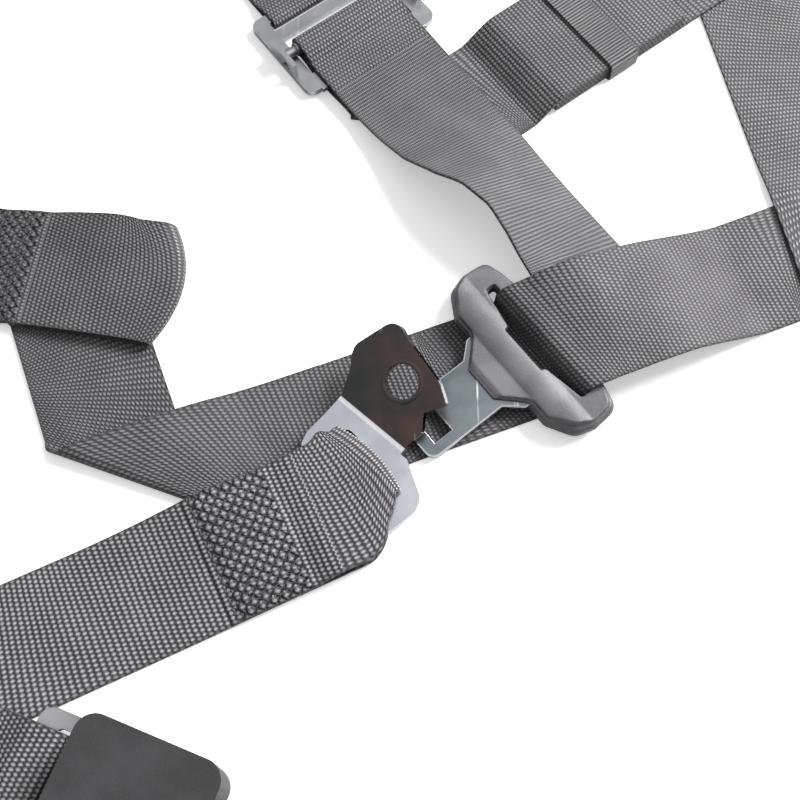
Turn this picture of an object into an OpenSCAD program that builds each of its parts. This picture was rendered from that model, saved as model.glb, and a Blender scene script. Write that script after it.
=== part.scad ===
// Four-point racing harness, laid out on a table with its spare webbing folded up.
// Millimetres, +Z up, the table is z = 0 and the middle of the laid-out harness is the origin.

/* [Webbing] */
// Width of the polyester webbing
web_w = 47.5; // [44:0.5:49]
// Thickness of the webbing
web_t = 1.2; // [1:0.1:1.4]
// Free height left between two layers that lie on each other
layer_gap = 0.3; // [0.2:0.05:0.4]
// Length of the folded-back end that is sewn down behind each loop
sewn_len = 34; // [28:1:38]
// Length of the loose tail past each adjuster
tail_len = 62; // [50:1:66]
// Layers in the folded shoulder webbing at the tongue side (odd)
tongue_stack_layers = 5; // [3:2:7]
// Length of one fold of that stack
tongue_stack_len = 66; // [58:1:72]
// Layers in the folded shoulder webbing at the buckle side (odd)
buckle_stack_layers = 5; // [3:2:7]
// Length of one fold of that stack
buckle_stack_len = 64; // [58:1:68]
// Layers in each folded rear strap (odd)
rear_stack_layers = 5; // [3:2:7]
// Length of one fold of a rear strap
rear_stack_len = 50; // [44:1:54]

/* [Anchor plate] */
// Thickness of the steel plate
plate_t = 3; // [2.5:0.1:3.4]
// Angle that the bolt flap rises from the slot flap
flap_rise = 30; // [20:1:40]
// Length of the bend
bend_len = 30.6; // [28:0.2:32]
// Diameter of the bolt hole for a 7/16 inch bolt
bolt_d = 12.7; // [11.5:0.1:13.5]
// Width of the bar that the webbing goes round
bar_w = 10.5; // [9:0.5:11]
// Height of the webbing slot
slot_h = 6.5; // [6:0.25:7]
// Height of the small lug that stops the plate turning on its bolt
lug_len = 4.5; // [3:0.25:5]

/* [Tongue] */
// Width of the steel blade
blade_w = 22.6; // [21:0.2:24]
// Thickness of the blade
blade_t = 2.4; // [2:0.1:2.6]
// Length of blade that stands out of the cover
blade_len = 32.5; // [30:0.5:34]
// Width of the latch window
window_w = 13.2; // [11:0.2:14]
// Length of the latch window
window_len = 7.7; // [6:0.1:8.5]
// Steel left between the window and the tip
window_land = 5.1; // [4.5:0.1:6]
// Half width of the cover
cover_half = 38; // [37:0.5:40]
// Thickness of the cover over its edges
cover_t = 7; // [6:0.25:8]
// Height that the ridge stands over the cover
ridge_h = 1.6; // [0.8:0.1:2]
// Half length of the webbing slot
tongue_slot_half = 26.6; // [26.2:0.1:28]
// Length of the slot along the tongue
tongue_slot_w = 6.6; // [6:0.2:7.5]
// How far the tongue slides along its strap as it is laid out
tongue_travel = 28; // [10:1:34]

/* [Buckle] */
// Length of the buckle body
body_len = 50; // [49:0.5:54]
// Width of the buckle body
body_w = 66; // [64:0.5:70]
// Height of the buckle body
body_h = 24; // [23:0.5:26]
// Wall of the plastic shells
shell_wall = 2.2; // [1.8:0.1:2.6]
// Thickness of the steel frame
frame_t = 2.5; // [2:0.1:3]
// Height of the mouth that the tongue goes into
mouth_h = 4.6; // [4.4:0.1:5]
// Travel of the release button
button_travel = 5; // [3:0.5:6]
// Width of the release button
button_w = 34; // [28:1:38]
// Height of the release button
button_h = 9; // [8:0.5:10]
// Travel of the ejector
ejector_travel = 12; // [8:1:14]
// Wire of the springs
spring_wire = 0.9; // [0.7:0.1:1.1]

/* [Adjuster] */
// Length of the adjuster frame
adj_len = 43; // [41:0.5:46]
// Width of the adjuster frame
adj_w = 64; // [62:1:68]
// Thickness of the adjuster frame
adj_t = 2.5; // [2:0.1:2.8]
// Diameter of the knurled slide bar
slide_d = 5.8; // [5:0.1:6.2]
// Travel of the slide bar
slide_travel = 4; // [2:0.5:5]
// Width of the window that the webbing goes through
adj_window_w = 50.4; // [50:0.2:52]

/* [Keepers] */
// Width of the elastic keepers round the folded webbing
keeper_w = 14; // [10:1:18]
// Thickness of the elastic
keeper_t = 0.9; // [0.7:0.1:1.1]

/* [Hidden] */
$fn = 32;

hw = web_w / 2;
z_low = web_t / 2;
z_step = web_t + layer_gap;
z_two = z_low + z_step;
fold_steps = 8;
bead = 0.1;

// headings of the runs, in degrees from +X
head_lap_t = -9;
head_under = -69;
head_belt = 20.5;
head_shoulder = 21.5;
head_tail = 127;
head_in = 217;
head_rear_a = 205;
head_lap_b = 205.06;
head_buckle = 338;
head_rear_b = 68;

// where the middle of the webbing turns
turn_a = [-86, 44];
turn_b = [-128, 50.7];
turn_c = [-86, -32.9];
// the webbing rolls along this fold, so it comes in further left than it leaves
turn_c_in = [-97.7, -28.4];
fold_c = -20.9;
slot_mid = [50.7, 18.2];
turn_d = [172, 66];
tail_from = [59.4, 56.4];
turn_g = [-181.6, -116.6];

function along(p, a, d) = [p[0] + d * cos(a), p[1] + d * sin(a)];
function unit(v) = v / norm(v);
// one ruling across the webbing: middle p, heading a, ruling direction r, heights of the two edges
function rule(p, a, r, zl, zr, sg) =
    let (k = sg * hw / sin(r - a))
    [[p[0] + k * cos(r), p[1] + k * sin(r), zl], [p[0] - k * cos(r), p[1] - k * sin(r), zr]];
function flat(p, a, zl, zr, sg) = rule(p, a, a + 90, zl, zr, sg);
// a fold from heading a to heading b, edges going from heights l1, r1 to l2, r2
function fold(p, a, b, l1, r1, l2, r2, sg, steps = fold_steps) =
    wind(p, a, p, b, (a + b) / 2, l1, r1, l2, r2, sg, steps);
// a fold along direction f, rolled so that the webbing comes in at p and leaves at q
function wind(p, a, q, b, f, l1, r1, l2, r2, sg, steps = fold_steps) =
    let (k1 = sg * hw / sin(f - a),
        k2 = sg * hw / sin(b - f),
        o = sin(a - f) > 0 ? 1 : -1,
        ox = -sin(f) * o,
        oy = cos(f) * o,
        rl = abs(l2 - l1) / 2,
        rr = abs(r2 - r1) / 2)
    [for (i = [0:steps])
        let (t = 180 * i / steps,
            c = (1 - cos(t)) / 2,
            x = p[0] + (q[0] - p[0]) * c,
            y = p[1] + (q[1] - p[1]) * c,
            k = k1 + (k2 - k1) * c)
        [[x + k * cos(f) + ox * rl * sin(t), y + k * sin(f) + oy * rl * sin(t), l1 + (l2 - l1) * c],
         [x - k * cos(f) + ox * rr * sin(t), y - k * sin(f) + oy * rr * sin(t), r1 + (r2 - r1) * c]]];
function turn(p, a, z1, z2, sg) = fold(p, a, a + 180, z1, z1, z2, z2, sg);
// accordion folds: heading a, between p and p + len, n layers (odd), starting at height z0
function pleats(p, a, len, n, z0, sg) =
    [for (k = [0:n - 2])
        let (fwd = k % 2 == 0,
            q = fwd ? along(p, a, len) : p,
            s = fwd ? sg : -sg)
        each turn(q, fwd ? a : a + 180, z0 + k * z_step, z0 + (k + 1) * z_step, s)];

// thickness is laid on both sides of the ruled mid-surface
function dir_at(s, i, e) =
    let (n = len(s) - 1,
        a = i == 0 ? [0, 0, 0] : unit(s[i][e] - s[i - 1][e]),
        b = i == n ? [0, 0, 0] : unit(s[i + 1][e] - s[i][e]))
    a + b;
function normal_at(s, i, e) = unit(cross(dir_at(s, i, e), s[i][0] - s[i][1]));
module ribbon(s, t = web_t) {
    n = len(s);
    pts = [for (i = [0:n - 1])
        let (nl = normal_at(s, i, 0) * t / 2, nr = normal_at(s, i, 1) * t / 2)
        each [s[i][0] + nl, s[i][1] + nr, s[i][1] - nr, s[i][0] - nl]];
    sides = [for (i = [0:n - 2], j = [0:3])
        let (a = 4 * i + j, b = 4 * i + (j + 1) % 4)
        each [[b, a, b + 4], [b + 4, a, a + 4]]];
    ends = [[2, 3, 1], [1, 3, 0], [4 * n - 3, 4 * n - 4, 4 * n - 2], [4 * n - 2, 4 * n - 4, 4 * n - 1]];
    polyhedron(points = pts, faces = concat(ends, sides), convexity = 10);
}
module place(p, a, z = 0) {
    translate([p[0], p[1], z]) rotate([0, 0, a]) children();
}
// a point of a frame at p turned by a
function at(p, a, x, y) = [p[0] + x * cos(a) - y * sin(a), p[1] + x * sin(a) + y * cos(a)];
function at3(p, a, v) = [p[0] + v[0] * cos(a) - v[1] * sin(a), p[1] + v[0] * sin(a) + v[1] * cos(a), v[2]];

// ---------- sewn loop round an anchor plate's bar, in the plate's frame ----------
// p runs along the bar, q towards the bolt flap; the webbing leaves at loop_head
loop_head = 71.06;
bar_back = -4.5;
bar_front = bar_back + bar_w + 0.5;
slot_front = bar_front + slot_h;
loop_r = plate_t / 2 + web_t / 2 + 0.3;
loop_mid = [0.24, -16.2];
squeeze_l = -14.9;
squeeze_r = 12.7;
// how far the webbing bulges into the slot at its two edges, and how much its upper layer puffs up
bulge_l = slot_h - web_t / 2 - 1.1;
bulge_r = slot_h - web_t / 2 - 4.3;
puff = 1.2;
// heading towards the plate h, end of the sewn run at p: the plate's bar frame
function bar_dir(h) = h - loop_head;
function bar_pos(p, h) = at(p, bar_dir(h), -loop_mid[0], -loop_mid[1]);
// level of the plate's middle over the lower layer of webbing
function loop_path(zl, zm) =
    let (e = [cos(loop_head + 90) * hw, sin(loop_head + 90) * hw],
        zu = 2 * zm - zl,
        near = [[-20.3, -2.2], [26, -11.5]],
        mid = [[-17.6, 4.2], [22, -2.6]])
    concat(
        [[[loop_mid[0] + e[0], loop_mid[1] + e[1], zl], [loop_mid[0] - e[0], loop_mid[1] - e[1], zl]],
         [[near[0][0], near[0][1], zl], [near[1][0], near[1][1], zl]],
         [[mid[0][0], mid[0][1], zl], [mid[1][0], mid[1][1], zl]]],
        [for (i = [0:fold_steps])
            let (t = 180 * i / fold_steps, z = zm - (loop_r + (t > 90 ? puff : 0)) * cos(t))
            [[squeeze_l, bar_front + bulge_l * sin(t), z], [squeeze_r, bar_front + bulge_r * sin(t), z]]],
        [[[mid[0][0], mid[0][1], zu + puff], [mid[1][0], mid[1][1], zu + puff]],
         [[near[0][0], near[0][1], zu + puff / 2], [near[1][0], near[1][1], zu + puff / 2]],
         [[loop_mid[0] + e[0] * 0.99, loop_mid[1] + e[1] * 0.99 + square_cut, zu],
          [loop_mid[0] - e[0], loop_mid[1] - e[1] + square_cut, zu]],
         [[loop_mid[0] + e[0], loop_mid[1] + e[1], zu], [loop_mid[0] - e[0], loop_mid[1] - e[1], zu]]]);
module plate_loop(p, h, zl) {
    b = bar_pos(p, h);
    s = loop_path(zl, zl + loop_r);
    ribbon([for (r = s) [at3(b, bar_dir(h), r[0]), at3(b, bar_dir(h), r[1])]]);
}
// runs meet at a square cut, so each stays level for this far from the joint
square_cut = 0.6;
// the folded-back end, sewn down on the run it came from; p is the loop's end, h the heading to the plate
module sewn_end(p, h, zl, len = sewn_len) {
    zu = zl + 2 * loop_r;
    zs = zl + web_t - bead;
    far = along(p, h, -len);
    ribbon([flat(p, h, zu, zu, 1),
        flat(along(p, h, -square_cut), h, zu, zu, 1),
        flat(along(p, h, -len * 0.12), h, zu - 0.9, zu - 0.9, 1),
        flat(along(p, h, -len * 0.3), h, zs + 0.7, zs + 0.7, 1),
        flat(along(p, h, -len * 0.42), h, zs, zs, 1),
        flat(far, h, zs, zs, 1)]);
    stitches(p, h, zs + web_t / 2, len);
}
// zigzag rows of thread over the sewn end
stitch_h = 0.35;
stitch_w = 0.9;
stitch_rows = 7;
module stitches(p, h, z, len, deep = 0) {
    a = len * 0.52;
    step = (web_w - 8) / (stitch_rows - 1);
    for (k = [0:stitch_rows - 1])
        place(along(p, h, -len + 2.5), h, z - deep - 2 * bead)
            translate([0, -web_w / 2 + 4 + k * step - stitch_w / 2, 0])
                cube([a, stitch_w, stitch_h + deep + 2 * bead]);
}

// the same on a run that leans: t lists [distance, left height, right height] of that run from p
function sewn_top(p, h, t, len) =
    let (up = 2 * loop_r, on = web_t - bead)
    [for (v = [[0, up, up], [square_cut, up, up], [5, 3.6, 3.2], [10, 1.6, 1.6], [15, on, on], [23, on, on],
            [len, on, on]])
        flat(along(p, h, v[0]), h, lean(t, v[0], 1) + v[1], lean(t, v[0], 2) + v[2], 1)];
function lean(t, d, k) = lookup(d, [for (v = t) [v[0], v[k]]]);
function strip(s, f, w, up) = [for (r = s)
    let (m = r[0] + (r[1] - r[0]) * f, u = unit(r[0] - r[1]) * w / 2, z = [0, 0, up]) [m + u + z, m - u + z]];
module sewn_over(over) {
    ribbon(over);
    for (k = [0:stitch_rows - 1])
        ribbon(strip([over[4], over[5], over[6]], 0.09 + 0.82 * k / (stitch_rows - 1), stitch_w,
            web_t / 2 + stitch_h / 2 - bead), stitch_h);
}

// ---------- tongue strap ----------
lap_t_end = along(turn_a, head_lap_t, -86);
z_over = 11.6;
z_over_low = 5.2;
z_under = 3;
module tongue_strap_loop() {
    color("dimgray") plate_loop(lap_t_end, head_lap_t + 180, z_low);
}
// [distance, height of the upper edge, height of the lower edge]
lap_t_lean = [[0, z_low, z_low], [14, z_low, z_low], [30, z_low + 2.8, z_low + 3],
    [46, z_low + 7.2, z_low + 4.3], [64, z_low + 10.4, z_low + 4.6], [78, z_low + 11, z_low + 4.6]];
module tongue_strap_lap() {
    color("dimgray") {
        ribbon(concat(
            [for (v = lap_t_lean) flat(along(lap_t_end, head_lap_t, v[0]), head_lap_t, v[1], v[2], 1)],
            fold(turn_a, head_lap_t, head_lap_t + 180, z_over, z_over_low, z_under, z_under, 1),
            [flat(along(turn_a, head_lap_t, -20), head_lap_t + 180, z_two + 0.3, z_two + 0.3, -1)],
            fold(turn_b, head_lap_t + 180, head_under, z_two, z_two, z_low, z_low, -1),
            wind(turn_c_in, head_under, turn_c, head_belt, fold_c, z_low, z_low, z_two, z_curl, 1),
            [for (v = belt_fall) rule(on_belt(v[0]), head_belt, v[3], v[1], v[2], -1)]));
        sewn_over(sewn_top(lap_t_end, head_lap_t, lap_t_lean, sewn_len));
    }
}
// the belt comes off its fold high along its upper edge: [distance, low edge, high edge, ruling]
z_curl = 5.6;
belt_fall = [[16, 2.1, 5.8, 144], [30, 1.2, 4.2, 130], [42, 0.6, 1.6, 120], [54, 0.6, 0.7, 114],
    [66, 0.6, 0.6, 110.5], [68, 0.6, 0.6, 110.5]];
function on_belt(d) = along(turn_c, head_belt, d);
belt_a = 68;
belt_b = 106;
module tongue_strap_belt() {
    color("dimgray")
        ribbon([flat(on_belt(belt_a), head_belt, z_low, z_low, -1),
            flat(on_belt(belt_b), head_belt, z_low, z_low, -1)]);
}
// up through the tongue's slot and over its rear bar: [along, across from the slot's middle, low z, high z]
slot_turn = -52;
rise_path = [[-31, -52, 0.6, 0.6], [-20, -52, 0.6, 0.6], [-8, -52, 0.8, 0.8], [-2.4, -52, 1.7, 1.7],
    [-0.5, -52, 3.4, 3.5], [0.1, -52, 5.5, 5.8], [0.3, -52, 9.8, 10.2], [1.5, -52, 12.2, 12.6],
    [4.6, -52, 13.3, 14.2], [9.5, -52, 13.6, 14.9]];
arch = [[15, -56, 13.4, 17.2], [24, -62, 13.2, 18.8], [36, -66, 13.4, 16], [50, -68, 12.6, 12],
    [62, -68.5, 9, 7.6], [74, -68.5, 4.2, 3.4], [86, -68.5, 0.6, 0.6]];
function on_slot(d, a) = along(slot_mid, a, d);
module tongue_strap_rise() {
    color("dimgray")
        ribbon(concat(
            [flat(on_belt(belt_b), head_belt, z_low, z_low, -1)],
            [for (v = rise_path) rule(on_slot(v[0], head_belt), head_belt, v[1], v[2], v[3], -1)],
            [for (v = arch) rule(on_slot(v[0], head_shoulder), head_shoulder, v[1], v[2], v[3], -1)],
            [flat(on_slot(rise_end, head_shoulder), head_shoulder, z_low, z_low, -1)]));
}
rise_end = 98;

// the run beside the tail, folded up and brought in under it
fold_under_d = 76;
turn_f = along(tail_from, head_tail, fold_under_d);
turn_e = along(turn_f, head_in, -158);
head_side = atan2(turn_e[1] - turn_d[1], turn_e[0] - turn_d[0]);
adj_a = along(tail_from, head_tail, 136);
module tongue_strap_shoulder() {
    color("dimgray")
        ribbon(concat(
            [flat(on_slot(rise_end, head_shoulder), head_shoulder, z_low, z_low, -1)],
            fold(turn_d, head_shoulder, head_side, z_low, z_low, z_two, z_two, -1),
            [flat(along(turn_d, head_side, 24), head_side, z_two, z_two, 1),
             flat(along(turn_d, head_side, 44), head_side, z_low, z_low, 1)],
            fold(turn_e, head_side, head_in, z_low, z_low, z_two, z_two, 1),
            [flat(along(turn_e, head_in, fold_near - 2), head_in, z_two, z_two, -1)]));
}
fold_near = 42;
module tongue_strap_folds() {
    p = along(turn_e, head_in, fold_near);
    q = along(p, head_in, 6);
    top = z_stack + (tongue_stack_layers - 1) * z_step;
    color("dimgray")
        ribbon(concat(
            [flat(along(p, head_in, -2), head_in, z_two, z_two, -1),
             flat(along(p, head_in, square_cut - 2), head_in, z_two, z_two, -1),
             flat(along(q, head_in, 3), head_in, z_stack, z_stack, -1)],
            pleats(q, head_in, tongue_stack_len, tongue_stack_layers, z_stack, -1),
            [flat(along(q, head_in, tongue_stack_len - 4), head_in, top, top, -1),
             flat(along(q, head_in, tongue_stack_len + 4), head_in, top * 0.6, top * 0.6, -1),
             flat(along(q, head_in, tongue_stack_len + 12), head_in, z_low, z_low, -1)],
            fold(turn_f, head_in, head_tail, z_low, z_low, z_two, z_two, -1),
            [flat(along(turn_f, head_tail, 26), head_tail, z_two, z_two, 1),
             flat(along(adj_a, head_tail, adj_front - 2 - square_cut), head_tail, z_low, z_low, 1),
             flat(along(adj_a, head_tail, adj_front - 2), head_tail, z_low, z_low, 1)]));
}

// ---------- adjuster: x towards the rear bar ----------
adj_z = web_t + 0.4;
adj_top = adj_z + adj_t;
adj_front = -adj_len * 0.465;
front_bar = 8;
window_front = adj_front + front_bar;
window_back = window_front + 21;
mid_bar = 5;
rear_window = 4.6;
rear_from = window_back + mid_bar + rear_window;
rear_bar = adj_front + adj_len - rear_from;
journal = slide_d * 0.7;
slide_z = adj_top + journal / 2 + 0.05;
wrap_r = slide_d / 2 + web_t / 2 + 0.15;
flange_t = 2;
flange_h = 6.4;
module adjuster_frame() {
    slot_w = journal + 0.1;
    difference() {
        union() {
            difference() {
                translate([adj_front, 0, adj_z]) linear_extrude(adj_t) rounded(adj_len, adj_w, 4);
                translate([window_front, -adj_window_w / 2, 0]) cube([21, adj_window_w, 20]);
                translate([window_back + mid_bar, -adj_window_w / 2, 0])
                    cube([rear_window, adj_window_w, 20]);
            }
            for (s = [-1, 1])
                translate([-9, s * (adj_w / 2 - flange_t / 2) - flange_t / 2, adj_z])
                    cube([16, flange_t, adj_t + flange_h]);
            translate([adj_front, 0, adj_z + adj_t / 2]) rotate([90, 0, 0])
                cylinder(d = adj_t, h = adj_w - 12, center = true);
        }
        for (s = [-1, 1])
            translate([-slide_travel, s * (adj_w / 2) - 5, slide_z]) slot_cut(slot_w, slide_travel, 10);
    }
}
// a round-ended cutter along x
module slot_cut(d, len, w) {
    translate([0, 0, 0]) rotate([-90, 0, 0]) cylinder(d = d, h = w);
    translate([len, 0, 0]) rotate([-90, 0, 0]) cylinder(d = d, h = w);
    translate([0, 0, -d / 2]) cube([len, w, d]);
}
// a rounded plate from x = 0, centred on y
module rounded(len, w, r) {
    translate([r, -w / 2]) square([len - 2 * r, w]);
    translate([0, -w / 2 + r]) square([len, w - 2 * r]);
    for (x = [r, len - r], y = [-w / 2 + r, w / 2 - r]) translate([x, y]) circle(r);
}
knurls = 24;
module slide_bar() {
    body = adj_window_w - 0.8;
    translate([0, -adj_w / 2 + 0.1, slide_z]) rotate([-90, 0, 0]) cylinder(d = journal, h = adj_w - 0.2);
    translate([0, -body / 2, slide_z]) rotate([-90, 0, 0]) difference() {
        cylinder(d = slide_d, h = body);
        for (i = [0:knurls - 1])
            rotate([0, 0, 360 * i / knurls]) translate([slide_d / 2, 0, 2]) cylinder(d = 0.4, h = body - 4, $fn = 6);
    }
}
module adjuster_a_frame() {
    color("silver") place(adj_a, head_tail) adjuster_frame();
}
module adjuster_a_bar() {
    color("gray") place(adj_a, head_tail) slide_bar();
}
// webbing round the slide bar, entering under the front bar and leaving over it
function wrap(p, a, sg) = concat(
    [flat(along(p, a, adj_front - 2), a, z_low, z_low, sg),
     flat(along(p, a, window_front + 1), a, z_low, z_low, sg),
     flat(along(p, a, -wrap_r - 0.4), a, slide_z - wrap_r - 0.3, slide_z - wrap_r - 0.3, sg)],
    turn(p, a, slide_z - wrap_r, slide_z + wrap_r, sg),
    [flat(along(p, a, -5), a + 180, slide_z + wrap_r * 0.8, slide_z + wrap_r * 0.8, -sg),
     flat(along(p, a, window_front), a + 180, adj_top + 1.4, adj_top + 1.4, -sg),
     flat(along(p, a, adj_front + 1), a + 180, adj_top + 1.3, adj_top + 1.3, -sg),
     flat(along(p, a, adj_front - 6), a + 180, adj_top + 1.3, adj_top + 1.3, -sg)]);
// the loose tail, its left edge standing up and drawn in where it goes under the shoulder run:
// [distance, left height, right height, drawn in by]
tail_drape = [[100, 5, 4.8, 0], [84, 6.8, 4.4, 0], [66, 12, 4, 0], [50, 19, 3.2, 1], [38, 23.5, 1.8, 2],
    [26, 24, 0.9, 3], [14, 20, 0.6, 4.6], [4, 15.4, 0.6, 5.6]];
tail_lift = 12.8;
tail_in = 5.8;
tail_stop = -12;
module tongue_strap_tail() {
    color("dimgray") {
        ribbon(concat(wrap(adj_a, head_tail, 1),
            [for (v = tail_drape)
                roll(along(tail_from, head_tail, v[0]), head_tail + 180, v[1], v[2], -1, v[3])],
            [[roll(along(tail_from, head_tail, -4), head_tail + 180, tail_lift, z_low, -1, tail_in)[0],
              roll(along(tail_from, head_tail, tail_stop), head_tail + 180, tail_lift, z_low, -1)[1]]]));
    }
}
// a ruling that keeps the webbing's width when one edge is higher, measured from the low edge and drawn in
function roll(p, a, zl, zr, sg, in = 0) =
    let (w = sqrt(web_w * web_w - (zl - zr) * (zl - zr)) - in,
        c = [cos(a + 90) * sg, sin(a + 90) * sg],
        r = [p[0] - c[0] * hw, p[1] - c[1] * hw])
    [[r[0] + c[0] * w, r[1] + c[1] * w, zl], [r[0], r[1], zr]];

// ---------- rear strap, sewn round the adjuster's rear bar ----------
rear_r = adj_t / 2 + web_t / 2 + 0.2;
rear_z = adj_z + adj_t / 2;
rear_far = rear_from + rear_bar + 6 + sewn_len;
z_stack = z_low + keeper_t + layer_gap;
module rear_end(p, a) {
    zt = rear_z + rear_r;
    zb = rear_z - rear_r;
    zs = z_low + web_t + bead;
    out = rear_from + rear_bar;
    color("dimgray") {
        ribbon(concat(
            [flat(along(p, a, rear_far), a + 180, zs, zs, -1),
             flat(along(p, a, out + 13), a + 180, zs, zs, -1),
             flat(along(p, a, out + 8), a + 180, zs + 0.8, zs + 0.8, -1),
             flat(along(p, a, out + 2), a + 180, zt - 0.3, zt - 0.3, -1)],
            turn(along(p, a, rear_from), a + 180, zt, zb, -1),
            [flat(along(p, a, out), a, zb, zb, 1),
             flat(along(p, a, out + 6), a, z_low, z_low, 1),
             flat(along(p, a, rear_far + 4), a, z_low, z_low, 1)]));
        stitches(along(p, a, out + 6), a + 180, zs + web_t / 2, sewn_len, web_t);
    }
}
rear_turn = rear_far + 38;
rear_run = 138;
rear_near = 34;
module rear_corner(p, a, b, sg) {
    q = along(p, a, rear_turn);
    color("dimgray")
        ribbon(concat(
            [flat(along(p, a, rear_far + 4), a, z_low, z_low, sg)],
            fold(q, a, b, z_low, z_low, z_two, z_two, sg),
            [flat(along(q, b, rear_near), b, z_two, z_two, -sg)]));
}
module rear_folds(p, a, b, sg) {
    q = along(along(p, a, rear_turn), b, rear_near);
    top = z_stack + (rear_stack_layers - 1) * z_step;
    e = rear_run - rear_near;
    color("dimgray") {
        ribbon(concat(
            [flat(q, b, z_two, z_two, sg), flat(along(q, b, square_cut), b, z_two, z_two, sg),
             flat(along(q, b, 8), b, z_stack, z_stack, sg)],
            pleats(along(q, b, 6), b, rear_stack_len, rear_stack_layers, z_stack, sg),
            [flat(along(q, b, rear_stack_len), b, top, top, sg),
             flat(along(q, b, rear_stack_len + 8), b, top * 0.62, top * 0.62, sg),
             flat(along(q, b, rear_stack_len + 15), b, z_low, z_low, sg),
             flat(along(q, b, e), b, z_low, z_low, sg)]));
        sewn_end(along(q, b, e), b, z_low);
    }
}
function rear_end_at(p, a, b) = along(along(p, a, rear_turn), b, rear_run);
module keeper(p, a, len, layers) {
    h = layers * web_t + (layers - 1) * layer_gap + 2 * layer_gap;
    w = web_w + 1.6;
    color("black") place(along(p, a, len / 2), a)
        difference() {
            translate([-keeper_w / 2, -w / 2 - keeper_t, 0.05]) cube([keeper_w, w + 2 * keeper_t, h + 2 * keeper_t]);
            translate([-keeper_w, -w / 2, 0.05 + keeper_t]) cube([2 * keeper_w, w, h]);
        }
}
module rear_strap_a_end() {
    rear_end(adj_a, head_tail);
}
module rear_strap_a() {
    rear_corner(adj_a, head_tail, head_rear_a, 1);
}
module rear_strap_a_folds() {
    rear_folds(adj_a, head_tail, head_rear_a, -1);
}
module rear_strap_a_loop() {
    color("dimgray") plate_loop(rear_end_at(adj_a, head_tail, head_rear_a), head_rear_a, z_low);
}
module keeper_rear_strap_a() {
    keeper(along(along(adj_a, head_tail, rear_turn), head_rear_a, rear_near + 6), head_rear_a,
        rear_stack_len, rear_stack_layers);
}
module keeper_tongue_strap() {
    keeper(along(turn_e, head_in, fold_near + 6), head_in, tongue_stack_len, tongue_stack_layers);
}

// ---------- buckle strap ----------
lap_b_end = [-29, -44.45];
lap_b_z = 2.2;
lap_b_sewn = 41;
corner_b = along(lap_b_end, head_lap_b, 168.8);
buckle_at = along(corner_b, head_buckle, 70);
adj_b = along(buckle_at, head_buckle, 230);
// the lap end leans over the folds beside it: [distance, lower edge, upper edge]
lap_b_lean = [[0, lap_b_z, lap_b_z], [square_cut, lap_b_z, lap_b_z], [5, 2.2, 2.9], [12, 2.1, 4],
    [23, 1.9, 5.4], [35.5, 1.5, 6.2], [45, 1.1, 5], [58, 0.7, 2.6], [72, 0.6, 1.1], [82, 0.6, 0.6],
    [84, 0.6, 0.6]];
module buckle_strap_loop() {
    color("dimgray") plate_loop(lap_b_end, head_lap_b - 180, lap_b_z);
}
module buckle_strap_lap() {
    color("dimgray") {
        ribbon([for (v = lap_b_lean) flat(along(lap_b_end, head_lap_b, v[0]), head_lap_b, v[1], v[2], 1)]);
        sewn_over(sewn_top(lap_b_end, head_lap_b, lap_b_lean, lap_b_sewn));
    }
}
module buckle_strap_corner() {
    color("dimgray")
        ribbon(concat(
            [flat(along(lap_b_end, head_lap_b, 84), head_lap_b, z_low, z_low, 1)],
            fold(corner_b, head_lap_b, head_buckle, z_low, z_low, z_two, z_two, 1),
            [flat(along(buckle_at, head_buckle, -40), head_buckle, z_two, z_two, -1)]));
}
buckle_path = [[-40, z_two], [-31, z_two], [-24, z_two + 0.3], [-17, 5.2], [-12, 7.6], [-4.5, 7.7], [-1, 6.6], [0.3, 4],
    [1.5, 1.8], [3.5, 0.8], [8, 0.6], [60, 0.6]];
module buckle_strap_belt() {
    color("dimgray")
        ribbon([for (v = buckle_path)
            flat(along(buckle_at, head_buckle, v[0]), head_buckle, v[1], v[1], -1)]);
}
b_near = 66;
b_end = 150;
module buckle_strap_folds() {
    q = along(buckle_at, head_buckle, b_near);
    top = z_stack + (buckle_stack_layers - 1) * z_step;
    color("dimgray")
        ribbon(concat(
            [flat(along(q, head_buckle, -6), head_buckle, z_low, z_low, -1),
             flat(along(q, head_buckle, square_cut - 6), head_buckle, z_low, z_low, -1),
             flat(along(q, head_buckle, 4), head_buckle, z_stack, z_stack, -1)],
            pleats(q, head_buckle, buckle_stack_len, buckle_stack_layers, z_stack, -1),
            [flat(along(q, head_buckle, buckle_stack_len - 4), head_buckle, top, top, -1),
             flat(along(q, head_buckle, buckle_stack_len + 5), head_buckle, top * 0.62, top * 0.62, -1),
             flat(along(q, head_buckle, buckle_stack_len + 13), head_buckle, z_low, z_low, -1),
             flat(along(buckle_at, head_buckle, b_end), head_buckle, z_low, z_low, -1)]));
}
module buckle_strap_shoulder() {
    color("dimgray")
        ribbon([flat(along(buckle_at, head_buckle, b_end), head_buckle, z_low, z_low, -1),
            flat(along(adj_b, head_buckle, adj_front - 2), head_buckle, z_low, z_low, -1)]);
}
module buckle_strap_tail() {
    e = adj_front - tail_len;
    color("dimgray") {
        ribbon(concat(wrap(adj_b, head_buckle, -1),
            [flat(along(adj_b, head_buckle, adj_front - 14), head_buckle + 180, z_two + 1, z_two + 1, 1),
             flat(along(adj_b, head_buckle, adj_front - 24), head_buckle + 180, z_two, z_two, 1),
             flat(along(adj_b, head_buckle, e), head_buckle + 180, z_two, z_two, 1)]));
        ribbon([flat(along(adj_b, head_buckle, e + 22), head_buckle + 180, z_two + web_t - bead,
                z_two + web_t - bead, 1),
            flat(along(adj_b, head_buckle, e), head_buckle + 180, z_two + web_t - bead,
                z_two + web_t - bead, 1)]);
    }
}
module adjuster_b_frame() {
    color("silver") place(adj_b, head_buckle) adjuster_frame();
}
module adjuster_b_bar() {
    color("gray") place(adj_b, head_buckle) slide_bar();
}
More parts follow.
